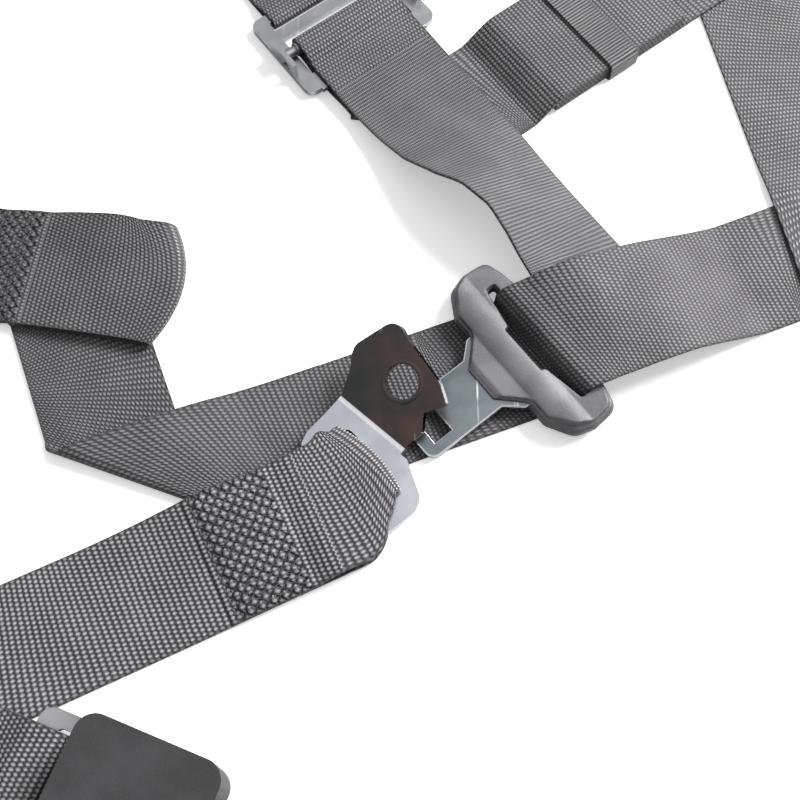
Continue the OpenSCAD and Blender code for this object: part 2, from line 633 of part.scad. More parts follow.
module rear_strap_b_end() {
    rear_end(adj_b, head_buckle);
}
module rear_strap_b() {
    rear_corner(adj_b, head_buckle, head_rear_b, 1);
}
module rear_strap_b_folds() {
    rear_folds(adj_b, head_buckle, head_rear_b, -1);
}
module rear_strap_b_loop() {
    color("dimgray") plate_loop(rear_end_at(adj_b, head_buckle, head_rear_b), head_rear_b, z_low);
}
module keeper_rear_strap_b() {
    keeper(along(along(adj_b, head_buckle, rear_turn), head_rear_b, rear_near + 6), head_rear_b,
        rear_stack_len, rear_stack_layers);
}
module keeper_buckle_strap() {
    keeper(along(buckle_at, head_buckle, b_near), head_buckle, buckle_stack_len, buckle_stack_layers);
}

// ---------- anchor plate: x along the bar, y towards the bolt flap, z = 0 at its middle ----------
// a polygon whose corners are rounded: [x, y, radius]
function soften(p, n = 4) =
    let (m = len(p))
    [for (i = [0:m - 1])
        let (a = [p[(i + m - 1) % m][0], p[(i + m - 1) % m][1]],
            b = [p[i][0], p[i][1]],
            c = [p[(i + 1) % m][0], p[(i + 1) % m][1]],
            u = unit(a - b),
            v = unit(c - b),
            g = acos(u * v),
            d = min(p[i][2] / tan(g / 2), norm(a - b) * 0.45, norm(c - b) * 0.45),
            r = d * tan(g / 2),
            o = b + unit(u + v) * r / sin(g / 2),
            s = b + u * d - o,
            e = b + v * d - o,
            a0 = atan2(s[1], s[0]),
            da = ((atan2(e[1], e[0]) - a0 + 540) % 360) - 180)
        each (p[i][2] == 0 ? [b] : [for (k = [0:n]) o + r * [cos(a0 + da * k / n), sin(a0 + da * k / n)]])];
crease = [-25.6, 19.1 - 13.1 + slot_front];
crease_turn = 4.7;
crease_far = at(crease, crease_turn, bend_len, 0);
hole_at = [15.4, 19.5];
module slot_flap() {
    polygon(soften([[crease[0], crease[1], 0], [-24.6, 9.3, 6], [-24.1, 1.6, 6], [-22.2, -3.1, 3],
        [-19.5, bar_back, 2], [20.5, bar_back, 2], [22.9, -3, 3], [24, 8.5, 5], [21.6, 13.4, 4],
        [11.1, 18.5, 6], [crease_far[0], crease_far[1], 0]]));
}
module webbing_slot() {
    polygon(soften([[-15.5, bar_front, 1.2], [15.5, bar_front, 1.4], [14.2, slot_front - 4.2, 2],
        [9.3, slot_front - 1.9, 4], [1.8, slot_front - 0.5, 4], [-10, slot_front, 4],
        [-15.5, slot_front, 2.4]]));
}
module bolt_flap() {
    polygon(soften([[0, 0, 0], [bend_len, 0, 0], [bend_len, 2, 1], [32.3, 9.9, 3], [29.2, 14.6, 0.6],
        [28.5, 15.7, 0.6], [33.2, 22.2, 1], [33.1, 23.4, 1.5], [26.8, 27.8, 8], [8.7, 32.7, 8],
        [3.3, 34.9, 3], [0.2, 34.2, 3], [-1.4, 32.3, 3], [-6.7, 19.5, 7], [-5.7, 15.8, 5],
        [-3.1, 11.5, 4], [0, 2, 1]]));
}
// the bent strip of steel, seen from its end
module bent_strip() {
    h = plate_t / 2;
    c = cos(flap_rise);
    n = sin(flap_rise);
    k = h * tan(flap_rise / 2);
    far = 60;
    rotate([90, 0, 90]) linear_extrude(4 * far, center = true)
        polygon([[-far, -h], [k, -h], [far * c + h * n, far * n - h * c], [far * c - h * n, far * n + h * c],
            [-k, h], [-far, h]]);
}
module in_crease() {
    rotate([0, 0, -crease_turn]) translate([-crease[0], -crease[1]]) children();
}
module anchor_plate() {
    over = 0.9;
    deep = 20;
    translate([crease[0], crease[1], 0]) rotate([0, 0, crease_turn]) {
        difference() {
            bent_strip();
            linear_extrude(deep, center = true) {
                difference() {
                    translate([-130, -100]) square([300, 100 + over]);
                    in_crease() slot_flap();
                    translate([0, -2]) square([bend_len, 5]);
                }
                in_crease() webbing_slot();
            }
            rotate([flap_rise, 0, 0]) {
                linear_extrude(deep, center = true) difference() {
                    translate([-130, -over]) square([300, 100]);
                    bolt_flap();
                    translate([0, -3]) square([bend_len, 5]);
                }
                translate([hole_at[0], hole_at[1], -deep / 2]) cylinder(d = bolt_d, h = deep, $fn = 64);
            }
        }
        rotate([flap_rise, 0, 0]) translate([25.4, 13.2, -plate_t / 2 - lug_len])
            cube([2.6, 4.2, lug_len + plate_t / 2]);
    }
}
module plate_at(p, h, zl) {
    color("silver") place(bar_pos(p, h), bar_dir(h), zl + loop_r) anchor_plate();
}
module lap_plate_buckle_side() {
    plate_at(lap_b_end, head_lap_b - 180, lap_b_z);
}
module lap_plate_tongue_side() {
    plate_at(lap_t_end, head_lap_t + 180, z_low);
}
module rear_plate_a() {
    plate_at(rear_end_at(adj_a, head_tail, head_rear_a), head_rear_a, z_low);
}
module rear_plate_b() {
    plate_at(rear_end_at(adj_b, head_buckle, head_rear_b), head_rear_b, z_low);
}

// ---------- tongue: x towards its rear bar, z = 0 at the middle of the blade ----------
tongue_at = [29.87, 3.83, 5.5];
tongue_yaw = 38;
tongue_tilt = 4;
slot_back = 27.2;
module tongue_place() {
    translate(tongue_at) rotate([0, 0, tongue_yaw]) rotate([0, -tongue_tilt, 0]) children();
}
module blade_shape() {
    b = blade_w / 2;
    polygon(soften([[-blade_len, -b, 4], [0, -b, 1], [6.3, -17, 1.5], [13, -17, 0], [13, 17, 0], [6.3, 17, 1.5],
        [0, b, 1], [-blade_len, b, 4]]));
}
module tongue_blade() {
    color("silver") tongue_place() linear_extrude(blade_t, center = true) difference() {
        blade_shape();
        translate([-blade_len + window_land, -window_w / 2]) square([window_len, window_w]);
    }
}
cover_rear = 34.6;
module cover_shape(g) {
    k = cover_half;
    polygon(soften([[-1.5 + g, -7.2, 1], [6.5 + g, -15.2, 1], [7.7 + g, -18, 1], [7.7 + g, -25.4, 4],
        [13.5 + g, -k + 2.5 + g, 5], [21, -k + g, 6], [31.5 - g, -k + 1 + g, 4], [33.4 - g, -30, 6],
        [cover_rear - g, -22.5, 6], [cover_rear - g, 22.5, 6], [33.4 - g, 30, 6], [31.5 - g, k - 1 - g, 4],
        [21, k - g, 6], [13.5 + g, k - 2.5 - g, 5], [7.7 + g, 25.4, 4], [7.7 + g, 18, 1], [6.5 + g, 15.2, 1],
        [-1.5 + g, 7.2, 1]]));
}
module slot_shape(g) {
    e = tongue_slot_half + g;
    f = slot_back - tongue_slot_w;
    polygon(soften([[slot_back + g, -e, 0.8], [slot_back + g, e, 0.8], [24 - g, e, 0.8], [f + 0.6 - g, 11, 0.4],
        [f - 0.4 - g, 10.3, 0.3], [f - 1.4 - g, 10.3, 0.5], [f - 1.4 - g, -10.3, 0.5], [f - 0.4 - g, -10.3, 0.3],
        [f + 0.6 - g, -11, 0.4], [24 - g, -e, 0.8]]));
}
module tongue_cover() {
    h = cover_t / 2;
    top = 1.3;
    ridge_r = 12;
    ridge_x = 15;
    front_slope = 24;
    color("gray") tongue_place() difference() {
        union() {
            translate([0, 0, -h]) linear_extrude(h) cover_shape(0);
            linear_extrude(h - top) cover_shape(0.6);
            linear_extrude(h) cover_shape(1.6);
            intersection() {
                linear_extrude(ridge_r) cover_shape(1.9);
                translate([ridge_x, 0, h + ridge_h - ridge_r]) rotate([90, 0, 0])
                    cylinder(r = ridge_r, h = 2 * cover_half, center = true, $fn = 72);
            }
        }
        translate([0, 0, -ridge_r]) linear_extrude(2 * ridge_r) slot_shape(0);
        translate([0, 0, h - top]) linear_extrude(ridge_r) slot_shape(0.5);
        translate([0, 0, -h - 1]) linear_extrude(top + 1) slot_shape(1);
        translate([-1.5, -60, 1.9]) rotate([0, -front_slope, 0]) translate([-20, 0, 0]) cube([60, 120, 30]);
        linear_extrude(blade_t, center = true) blade_shape();
    }
}

// ---------- buckle: x towards the mouth, the webbing slot at x = 0 ----------
shell_z = 1.8;
frame_z = shell_z + shell_wall + 0.05;
frame_top = frame_z + frame_t;
frame_half = 30.4;
body_from = 6;
body_to = body_from + body_len;
split_z = 12;
pin_x = 14;
pin_z = 14.5;
pin_r = 1.5;
channel_half = blade_w / 2 + 1.2;
wall_t = 2.5;
mouth_top = frame_top + mouth_h;
module buckle_place() {
    place(buckle_at, head_buckle) children();
}
module buckle_frame() {
    color("silver") buckle_place() {
        translate([0, 0, frame_z]) linear_extrude(frame_t) difference() {
            translate([-11.5, 0]) rounded(body_to - shell_wall + 11, 2 * frame_half, 5);
            translate([-3.5, 0]) rounded(7.5, web_w + 2.2, 1.5);
            translate([body_from + 24, 0]) rounded(9, window_w + 2, 1);
        }
        for (s = [-1, 1])
            translate([0, s * (channel_half + wall_t / 2), frame_top - 0.2]) rotate([90, 0, 0])
                linear_extrude(wall_t, center = true) difference() {
                    polygon([[9, 0], [46, 0], [46, 5.6], [36, 5.6], [26, 12], [9, 12]]);
                    translate([pin_x, pin_z - frame_top + 0.2]) circle(r = pin_r + 0.05);
                }
        translate([body_from + 2.6, -6, frame_top - 0.2]) cube([1.6, 12, 4.4]);
    }
}
module body_shape(g) {
    translate([body_from + g, 0]) rounded(body_len - 2 * g, body_w - 2 * g, 7 - g);
}
module buckle_cover_base() {
    color("dimgray") buckle_place() difference() {
        translate([0, 0, shell_z]) linear_extrude(split_z - shell_z) body_shape(0);
        translate([0, 0, shell_z + shell_wall]) linear_extrude(split_z) body_shape(shell_wall);
        translate([body_from - 1, -frame_half - 0.2, frame_z - 0.05])
            cube([shell_wall + 8, 2 * frame_half + 0.4, frame_t + 0.1]);
        translate([body_to - shell_wall - 1, -channel_half, frame_top])
            cube([shell_wall + 4, 2 * channel_half, mouth_h]);
    }
}
module buckle_cover_top() {
    b = button_w / 2 + 0.2;
    color("dimgray") buckle_place() {
        difference() {
            translate([0, 0, split_z]) linear_extrude(shell_z + body_h - split_z) body_shape(0);
            translate([0, 0, split_z - 1]) linear_extrude(shell_z + body_h - split_z + 1 - shell_wall)
                body_shape(shell_wall);
            translate([body_to - shell_wall - 2, -b, button_z - 0.2]) cube([shell_wall + 6, 2 * b, button_h + 0.4]);
        }
        for (s = [-1, 1])
            translate([spring_from - 2, s * spring_y - 2.6, split_z]) cube([2, 5.2, shell_z + body_h - split_z - 1]);
    }
}
button_z = 12.6;
spring_y = 21;
spring_from = 20;
arm_from = 36;
module buckle_button() {
    lip = body_to - shell_wall - 8;
    color("red") buckle_place() {
        translate([lip, -button_w / 2, button_z]) cube([body_to + 3 - lip, button_w, button_h]);
        translate([lip, -spring_y - 2.4, button_z]) cube([2.4, 2 * spring_y + 4.8, button_h - 0.2]);
        for (s = [-1, 1])
            translate([arm_from, s * spring_y - 2.2, 15]) cube([lip - arm_from + 1, 4.4, 4.4]);
    }
}
// a coil along z from 0 to len
module coil(r, len, turns, wire = spring_wire) {
    n = 10;
    m = 5;
    total = turns * n;
    pts = [for (i = [0:total])
        let (a = 360 * i / n, z = wire / 2 + (len - wire) * i / total)
        for (j = [0:m - 1])
            let (b = 360 * j / m, q = r + wire / 2 * cos(b))
            [q * cos(a), q * sin(a), z + wire / 2 * sin(b)]];
    skin = [for (i = [0:total - 1], j = [0:m - 1])
        let (a = m * i + j, b = m * i + (j + 1) % m)
        each [[a, b, b + m], [a, b + m, a + m]]];
    caps = [[for (j = [0:m - 1]) m - 1 - j], [for (j = [0:m - 1]) m * total + j]];
    polyhedron(points = pts, faces = concat(caps, skin), convexity = 10);
}
module buckle_button_springs() {
    color("silver") buckle_place() for (s = [-1, 1])
        translate([spring_from + 0.1, s * spring_y, 17.2]) rotate([0, 90, 0])
            coil(1.9, arm_from - spring_from - 0.2, 7);
}
latch_half = 9;
hook_x = 34;
module buckle_latch() {
    color("gray") buckle_place() {
        difference() {
            union() {
                translate([pin_x, 0, pin_z]) rotate([90, 0, 0]) cylinder(r = 3, h = 2 * latch_half, center = true);
                translate([pin_x, -latch_half, pin_z - 1]) cube([hook_x - pin_x, 2 * latch_half, 2]);
                translate([hook_x - 4, -5.8, frame_top + 4.3]) cube([4, 11.6, pin_z - frame_top - 3.4]);
            }
            translate([pin_x, 0, pin_z]) rotate([90, 0, 0])
                cylinder(r = pin_r + 0.05, h = 3 * latch_half, center = true);
        }
    }
}
module buckle_latch_pin() {
    color("silver") buckle_place() translate([pin_x, 0, pin_z]) rotate([90, 0, 0])
        cylinder(r = pin_r, h = 2 * (channel_half + wall_t + 0.6), center = true);
}
module buckle_latch_spring() {
    z = pin_z + 1.05;
    color("silver") buckle_place() translate([pin_x + 11, 0, z])
        coil(3, shell_z + body_h - shell_wall - z - 0.1, 4);
}
ejector_x = 26;
ejector_len = 10;
module buckle_ejector() {
    color("black") buckle_place()
        translate([ejector_x, -8, frame_top + 0.1]) cube([ejector_len, 16, 3.9]);
}
module buckle_ejector_spring() {
    x = body_from + 4.3;
    color("silver") buckle_place() translate([x, 0, frame_top + 2.1]) rotate([0, 90, 0])
        coil(1.4, ejector_x - x - 0.1, 9, 0.7);
}

// ---------- which piece to draw ----------
tongue_strap_loop();
tongue_strap_lap();
tongue_strap_belt();
tongue_strap_rise();
tongue_strap_shoulder();
tongue_strap_folds();
tongue_strap_tail();
buckle_strap_loop();
buckle_strap_lap();
buckle_strap_corner();
buckle_strap_belt();
buckle_strap_folds();
buckle_strap_shoulder();
buckle_strap_tail();
rear_strap_a_end();
rear_strap_a();
rear_strap_a_folds();
rear_strap_a_loop();
rear_strap_b_end();
rear_strap_b();
rear_strap_b_folds();
rear_strap_b_loop();
lap_plate_tongue_side();
lap_plate_buckle_side();
rear_plate_a();
rear_plate_b();
tongue_blade();
tongue_cover();
buckle_frame();
buckle_cover_base();
buckle_cover_top();
buckle_button();
buckle_button_springs();
buckle_latch();
buckle_latch_pin();
buckle_latch_spring();
buckle_ejector();
buckle_ejector_spring();
adjuster_a_frame();
adjuster_a_bar();
adjuster_b_frame();
adjuster_b_bar();
keeper_tongue_strap();
keeper_buckle_strap();
keeper_rear_strap_a();
keeper_rear_strap_b();
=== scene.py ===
"""Four-point racing harness laid out on a table: webbing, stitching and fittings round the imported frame."""

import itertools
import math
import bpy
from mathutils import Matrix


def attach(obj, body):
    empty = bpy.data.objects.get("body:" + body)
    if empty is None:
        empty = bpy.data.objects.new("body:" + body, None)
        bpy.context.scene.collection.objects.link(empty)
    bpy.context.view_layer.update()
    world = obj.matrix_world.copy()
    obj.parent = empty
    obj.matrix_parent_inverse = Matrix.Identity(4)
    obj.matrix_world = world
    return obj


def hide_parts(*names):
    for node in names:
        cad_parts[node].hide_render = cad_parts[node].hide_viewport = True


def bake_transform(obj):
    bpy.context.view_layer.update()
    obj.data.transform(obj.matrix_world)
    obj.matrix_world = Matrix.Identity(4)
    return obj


bl_info = {
    "name": "Racing harness",
    "version": (1, 0, 0),
    "blender": (4, 5, 0),
    "location": "View3D > Sidebar > Harness",
    "description": "Builds the webbing, fittings and finishes of a four-point racing harness",
    "category": "Object",
}

import bmesh
import bpy
from bpy.props import FloatProperty, FloatVectorProperty, PointerProperty
from mathutils import Matrix, Vector

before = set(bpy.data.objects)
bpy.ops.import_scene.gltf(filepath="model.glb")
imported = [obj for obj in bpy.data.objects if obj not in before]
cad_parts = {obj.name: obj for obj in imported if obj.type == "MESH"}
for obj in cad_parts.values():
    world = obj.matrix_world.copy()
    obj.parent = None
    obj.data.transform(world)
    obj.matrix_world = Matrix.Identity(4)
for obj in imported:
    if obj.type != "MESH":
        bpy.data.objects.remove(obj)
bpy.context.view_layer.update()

# Lengths below are millimetres in the frame's axes; meshes are made in metres.
MM = 0.001

# ---------- webbing sizes ----------
WEB_W = 47.5
WEB_T = 1.2
HALF = WEB_W / 2
LAYER_GAP = 0.3
SEWN_LEN = 34
TAIL_LEN = 62
LAYERS = 5
Z_LOW = WEB_T / 2
Z_STEP = WEB_T + LAYER_GAP
Z_TWO = Z_LOW + Z_STEP
KEEPER_W = 14
KEEPER_T = 0.9
Z_STACK = Z_LOW + KEEPER_T + LAYER_GAP
TOUCHING = WEB_T + 0.02
FOLD_STEPS = 12
STATION_SPACING = 2.2
COLUMNS = 14

# ---------- fittings ----------
PLATE_T = 3.0
FLAP_RISE = 30
BOLT_R = 6.35
BAR_FRONT = 6.5
CREASE = (-25.6, 19.0)
CREASE_TURN = 4.7
HOLE_AT = (15.4, 19.5)
LOOP_R = PLATE_T / 2 + WEB_T / 2 + 0.3
LOOP_HEAD = 71.06
LOOP_MID = (0.24, -16.2)
SQUEEZE = (-14.9, 12.7)
BULGE = (4.8, 1.6)
PUFF = 1.2
ADJ_LEN = 43
ADJ_T = 2.5
ADJ_Z = WEB_T + 0.4
ADJ_TOP = ADJ_Z + ADJ_T
ADJ_FRONT = -ADJ_LEN * 0.465
WINDOW_FRONT = ADJ_FRONT + 8
REAR_FROM = WINDOW_FRONT + 21 + 5 + 4.6
REAR_BAR = ADJ_FRONT + ADJ_LEN - REAR_FROM
SLIDE_D = 5.8
SLIDE_Z = ADJ_TOP + SLIDE_D * 0.35 + 0.05
WRAP_R = SLIDE_D / 2 + WEB_T / 2 + 0.15
REAR_R = ADJ_T / 2 + WEB_T / 2 + 0.2
REAR_Z = ADJ_Z + ADJ_T / 2
REAR_FAR = REAR_FROM + REAR_BAR + 6 + SEWN_LEN
ADJ_IN = ADJ_FRONT - 2
ADJ_OUT = ADJ_FRONT - 6
Z_OUT = ADJ_TOP + 1.3
REAR_TURN = REAR_FAR + 38
REAR_RUN = 138
REAR_NEAR = 34
REAR_STACK_LEN = 50

# ---------- headings in degrees from +X, and where the webbing turns ----------
HEAD_LAP_T = -9
HEAD_UNDER = -69
HEAD_BELT = 20.5
HEAD_SHOULDER = 21.5
HEAD_TAIL = 127
HEAD_IN = 217
HEAD_REAR_A = 205
HEAD_LAP_B = 205.06
HEAD_BUCKLE = 338
HEAD_REAR_B = 68
TURN_A = (-86, 44)
TURN_B = (-128, 50.7)
TURN_C = (-86, -32.9)
TURN_C_IN = (-97.7, -28.4)
FOLD_C = -20.9
SLOT_MID = (50.7, 18.2)
TURN_D = (172, 66)
TAIL_FROM = (59.4, 56.4)
LAP_B_END = (-29, -44.45)
LAP_B_Z = 2.2
LAP_B_SEWN = 41
SQUARE_CUT = 0.6
Z_OVER = 11.6
Z_OVER_LOW = 5.2
Z_UNDER = 3
Z_CURL = 5.6
BELT_A = 68
BELT_B = 106
RISE_END = 98
FOLD_NEAR = 42
B_NEAR = 66
B_END = 150


def sind(a):
    return math.sin(math.radians(a))


def cosd(a):
    return math.cos(math.radians(a))


def along(p, a, d):
    """The point at distance d from p on heading a."""
    return (p[0] + d * cosd(a), p[1] + d * sind(a))


def at(p, a, x, y):
    """A point of a frame that stands at p, turned by a."""
    return (p[0] + x * cosd(a) - y * sind(a), p[1] + x * sind(a) + y * cosd(a))


LAP_T_END = along(TURN_A, HEAD_LAP_T, -86)
TURN_F = along(TAIL_FROM, HEAD_TAIL, 76)
TURN_E = along(TURN_F, HEAD_IN, -158)
HEAD_SIDE = math.degrees(math.atan2(TURN_E[1] - TURN_D[1], TURN_E[0] - TURN_D[0]))
ADJ_A = along(TAIL_FROM, HEAD_TAIL, 136)
CORNER_B = along(LAP_B_END, HEAD_LAP_B, 168.8)
BUCKLE_AT = along(CORNER_B, HEAD_BUCKLE, 70)
ADJ_B = along(BUCKLE_AT, HEAD_BUCKLE, 230)


# ---------- rulings: each is the webbing's two edge points ----------
def rule(p, a, r, left_z, right_z, side):
    """One ruling across the webbing at p on heading a, in direction r."""
    k = side * HALF / sind(r - a)
    return (
        Vector((p[0] + k * cosd(r), p[1] + k * sind(r), left_z)),
        Vector((p[0] - k * cosd(r), p[1] - k * sind(r), right_z)),
    )


def flat(p, a, left_z, right_z, side):
    return rule(p, a, a + 90, left_z, right_z, side)


def level(p, a, z, side):
    return flat(p, a, z, z, side)


def fold(p, a, b, first, second, side):
    """A fold from heading a to heading b; first and second are the edge heights before and after it."""
    return wind(p, a, p, b, (a + b) / 2, first, second, side)


def wind(p, a, q, b, f, first, second, side):
    """A fold along direction f, rolled so that the webbing comes in at p and leaves at q."""
    (l1, r1), (l2, r2) = first, second
    k1, k2 = side * HALF / sind(f - a), side * HALF / sind(b - f)
    out = Vector((-sind(f), cosd(f), 0)) * (1 if sind(a - f) > 0 else -1)
    bulge_l, bulge_r = abs(l2 - l1) / 2, abs(r2 - r1) / 2
    made = []
    for i in range(FOLD_STEPS + 1):
        t = 180 * i / FOLD_STEPS
        c, s = (1 - cosd(t)) / 2, sind(t)
        middle = Vector((p[0] + (q[0] - p[0]) * c, p[1] + (q[1] - p[1]) * c, 0))
        reach = Vector((cosd(f), sind(f), 0)) * (k1 + (k2 - k1) * c)
        made.append((middle + reach + out * bulge_l * s + Vector((0, 0, l1 + (l2 - l1) * c)),
                     middle - reach + out * bulge_r * s + Vector((0, 0, r1 + (r2 - r1) * c))))
    return made


def turn(p, a, z1, z2, side):
    """A fold straight back over itself."""
    return fold(p, a, a + 180, (z1, z1), (z2, z2), side)


def pleats(p, a, length, layers, z, side):
    """Accordion folds between p and p + length."""
    made = []
    for k in range(layers - 1):
        forward = k % 2 == 0
        q = along(p, a, length) if forward else p
        heading, hand = (a, side) if forward else (a + 180, -side)
        made += turn(q, heading, z + k * Z_STEP, z + (k + 1) * Z_STEP, hand)
    return made


def roll(p, a, left_z, right_z, side, drawn=0):
    """A ruling that keeps the webbing's width while one edge stands up and is drawn in."""
    w = math.sqrt(WEB_W**2 - (left_z - right_z) ** 2) - drawn
    c = (cosd(a + 90) * side, sind(a + 90) * side)
    low = (p[0] - c[0] * HALF, p[1] - c[1] * HALF)
    return (Vector((low[0] + c[0] * w, low[1] + c[1] * w, left_z)), Vector((low[0], low[1], right_z)))


def runs(p, a, side, *steps):
    """Level rulings along heading a; each step is (distance, height)."""
    return [level(along(p, a, d), a, z, side) for d, z in steps]


# ---------- meshes from rulings ----------
def monotone(xs, ys):
    """A smooth curve through the points that never overshoots them, as a function."""
    h = [b - a for a, b in zip(xs, xs[1:])]
    d = [(b - a) / w for a, b, w in zip(ys, ys[1:], h)]
    m = [d[0]]
    for i in range(1, len(d)):
        p, q = d[i - 1], d[i]
        w1, w2 = 2 * h[i] + h[i - 1], h[i] + 2 * h[i - 1]
        m.append(0.0 if p * q <= 0 else (w1 + w2) / (w1 / p + w2 / q))
    m.append(d[-1])

    def value(i, x):
        t = (x - xs[i]) / h[i]
        bend = (1 + 2 * t) * (1 - t) ** 2 * ys[i] + t * t * (3 - 2 * t) * ys[i + 1]
        return bend + h[i] * (t * (1 - t) ** 2 * m[i] - t * t * (1 - t) * m[i + 1])

    return value


def close_up(stations, spacing, round_plan=False):
    """Rulings close together: heights on monotone curves, the plan straight between the given ones."""
    reach = [0.0]
    for (l0, r0), (l1, r1) in zip(stations, stations[1:]):
        reach.append(reach[-1] + max(((l1 - l0).length + (r1 - r0).length) / 2, 1e-4))
    curves = [monotone(reach, [(*l, *r)[k] for l, r in stations]) for k in range(6)]
    made = []
    for i in range(len(reach) - 1):
        n = max(1, math.ceil((reach[i + 1] - reach[i]) / spacing))
        for j in range(n):
            x = reach[i] + (reach[i + 1] - reach[i]) * j / n
            c = [curve(i, x) for curve in curves]
            left, right = (a.lerp(b, j / n) for a, b in zip(stations[i], stations[i + 1]))
            if round_plan:
                left, right = Vector(c[:3]), Vector(c[3:])
            left.z, right.z = c[2], c[5]
            made.append((left, right, x))
    made.append((*stations[-1], reach[-1]))
    return made


TUCK = 0.5
TUCK_DROP = 0.06


def tucked(rows):
    """Both ends are carried on a little, just under the next run, so no light shows at the joints."""
    drop = Vector((0, 0, TUCK_DROP))

    def carried(row, before):
        return (b + (b - a).normalized() * TUCK - drop for a, b in zip(before[:2], row[:2]))

    return [(*carried(rows[0], rows[1]), -TUCK), *rows, (*carried(rows[-1], rows[-2]), rows[-1][2] + TUCK)]


def reshaped(rows, shape):
    """Where the middle of each ruling gets to, as lengths along the moved strap."""
    spots = [(left + right) / 2 + shape((left + right) / 2, reach) for left, right, reach in rows]
    steps = [0.0, *itertools.accumulate((b - a).length for a, b in zip(spots, spots[1:]))]
    return [step - steps[1] for step in steps]


def dressed(name, mesh, look):
    """A mesh as a smooth object at the origin, in its finish."""
    obj = bpy.data.objects.new(name, mesh)
    bpy.context.scene.collection.objects.link(obj)
    mesh.materials.append(FINISHES[look])
    mesh.polygons.foreach_set("use_smooth", [True] * len(mesh.polygons))
    return obj


def new_piece(name, bm, look):
    """A finished bmesh as an object at the origin."""
    mesh = bpy.data.meshes.new(name)
    bm.to_mesh(mesh)
    bm.free()
    return dressed(name, mesh, look)


def lay(name, stations, look="webbing", run=0.0, thick=WEB_T, width=WEB_W, columns=COLUMNS,
        spacing=STATION_SPACING, relief=None, shape=None, round_plan=False, edge=0.3, ends_at_zero=False):
    """Webbing through the rulings, with its thickness laid on both sides and its own UV map in metres."""
    rows = tucked(close_up(stations, spacing, round_plan))
    lengths = reshaped(rows, shape) if shape else [row[2] for row in rows]
    if ends_at_zero:
        run = -lengths[-2]
    bm = bmesh.new()
    bmesh.ops.create_grid(bm, x_segments=columns, y_segments=len(rows) - 1, size=1)
    uv = bm.loops.layers.uv.new("strap")
    where = {}
    for v in bm.verts:
        f = (v.co.x + 1) / 2
        i = round((v.co.y + 1) / 2 * (len(rows) - 1))
        left, right, reach = rows[i]
        where[v] = (f * width, run + lengths[i])
        v.co = left.lerp(right, f)
        if shape:
            v.co += shape(v.co, reach)
    if relief:
        bm.normal_update()
        moves = {v: v.normal * relief(*where[v]) for v in bm.verts}
        for v, move in moves.items():
            v.co += move
    for face in bm.faces:
        for loop in face.loops:
            u, w = where[loop.vert]
            loop[uv].uv = (u * MM, w * MM)
    rounding = bm.edges.layers.float.new("bevel_weight_edge")
    for line in bm.edges:
        a, b = (abs(where[v][0] - width / 2) for v in line.verts)
        line[rounding] = float(min(a, b) > width / 2 - 0.001)
    bm.transform(Matrix.Scale(MM, 4))
    obj = new_piece(name, bm, look)
    thickness = obj.modifiers.new("thickness", "SOLIDIFY")
    thickness.thickness = thick * MM
    thickness.offset = 0
    thickness.use_quality_normals = True
    soften_edges(obj, edge).limit_method = "WEIGHT"
    obj["run_end"] = run + lengths[-2]
    return obj


def soften_edges(obj, width, segments=2, angle=40):
    bevel = obj.modifiers.new("edge", "BEVEL")
    bevel.width = width * MM
    bevel.segments = segments
    bevel.limit_method = "ANGLE"
    bevel.angle_limit = math.radians(angle)
    bevel.harden_normals = True
    return bevel


def ride(obj, node=None, body="webbing"):
    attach(obj, body)
    if node:
        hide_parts(node)
    return obj


def point(p, z):
    return (p[0] * MM, p[1] * MM, z * MM)


def threads(name, paths):
    """Sewing threads along paths of points."""
    curve = bpy.data.curves.new(name, "CURVE")
    curve.dimensions = "3D"
    curve.bevel_depth = THREAD_R * MM
    curve.bevel_resolution = 1
    curve.use_fill_caps = True
    for path in paths:
        spline = curve.splines.new("POLY")
        spline.points.add(len(path) - 1)
        for knot, p in zip(spline.points, path):
            knot.co = (p[0] * MM, p[1] * MM, p[2] * MM, 1)
    holder = bpy.data.objects.new(name, curve)
    bpy.context.scene.collection.objects.link(holder)
    bpy.context.view_layer.update()
    mesh = bpy.data.meshes.new_from_object(holder)
    bpy.data.objects.remove(holder)
    mesh.name = name
    mesh.materials.clear()
    return dressed(name, mesh, "thread")


# ---------- sewn loops and ends ----------
def bar_frame(p, h):
    """Where the bar of an anchor plate lies, for webbing that ends at p on heading h: middle and heading."""
    a = h - LOOP_HEAD
    return at(p, a, -LOOP_MID[0], -LOOP_MID[1]), a


def loop_stations(p, h, low):
    """Round the bar of an anchor plate and back."""
    base, a = bar_frame(p, h)
    mid = low + LOOP_R
    high = 2 * mid - low
    ex, ey = cosd(LOOP_HEAD + 90) * HALF, sind(LOOP_HEAD + 90) * HALF
    ends = ((LOOP_MID[0] + ex, LOOP_MID[1] + ey), (LOOP_MID[0] - ex, LOOP_MID[1] - ey))
    near = ((-20.3, -2.2), (26, -11.5))
    middle = ((-17.6, 4.2), (22, -2.6))
    path = [(ends, low), (near, low), (middle, low)]
    for i in range(FOLD_STEPS + 1):
        t = 180 * i / FOLD_STEPS
        edges = tuple((x, BAR_FRONT + bulge * sind(t)) for x, bulge in zip(SQUEEZE, BULGE))
        path.append((edges, mid - (LOOP_R + (PUFF if t > 90 else 0)) * cosd(t)))
    path += [(middle, high + PUFF), (near, high + PUFF / 2), (ends, high)]
    return [tuple(Vector((*at(base, a, *e), z)) for e in edges) for edges, z in path]


def ease(x):
    x = min(1.0, max(0.0, x))
    return x * x * (3 - 2 * x)


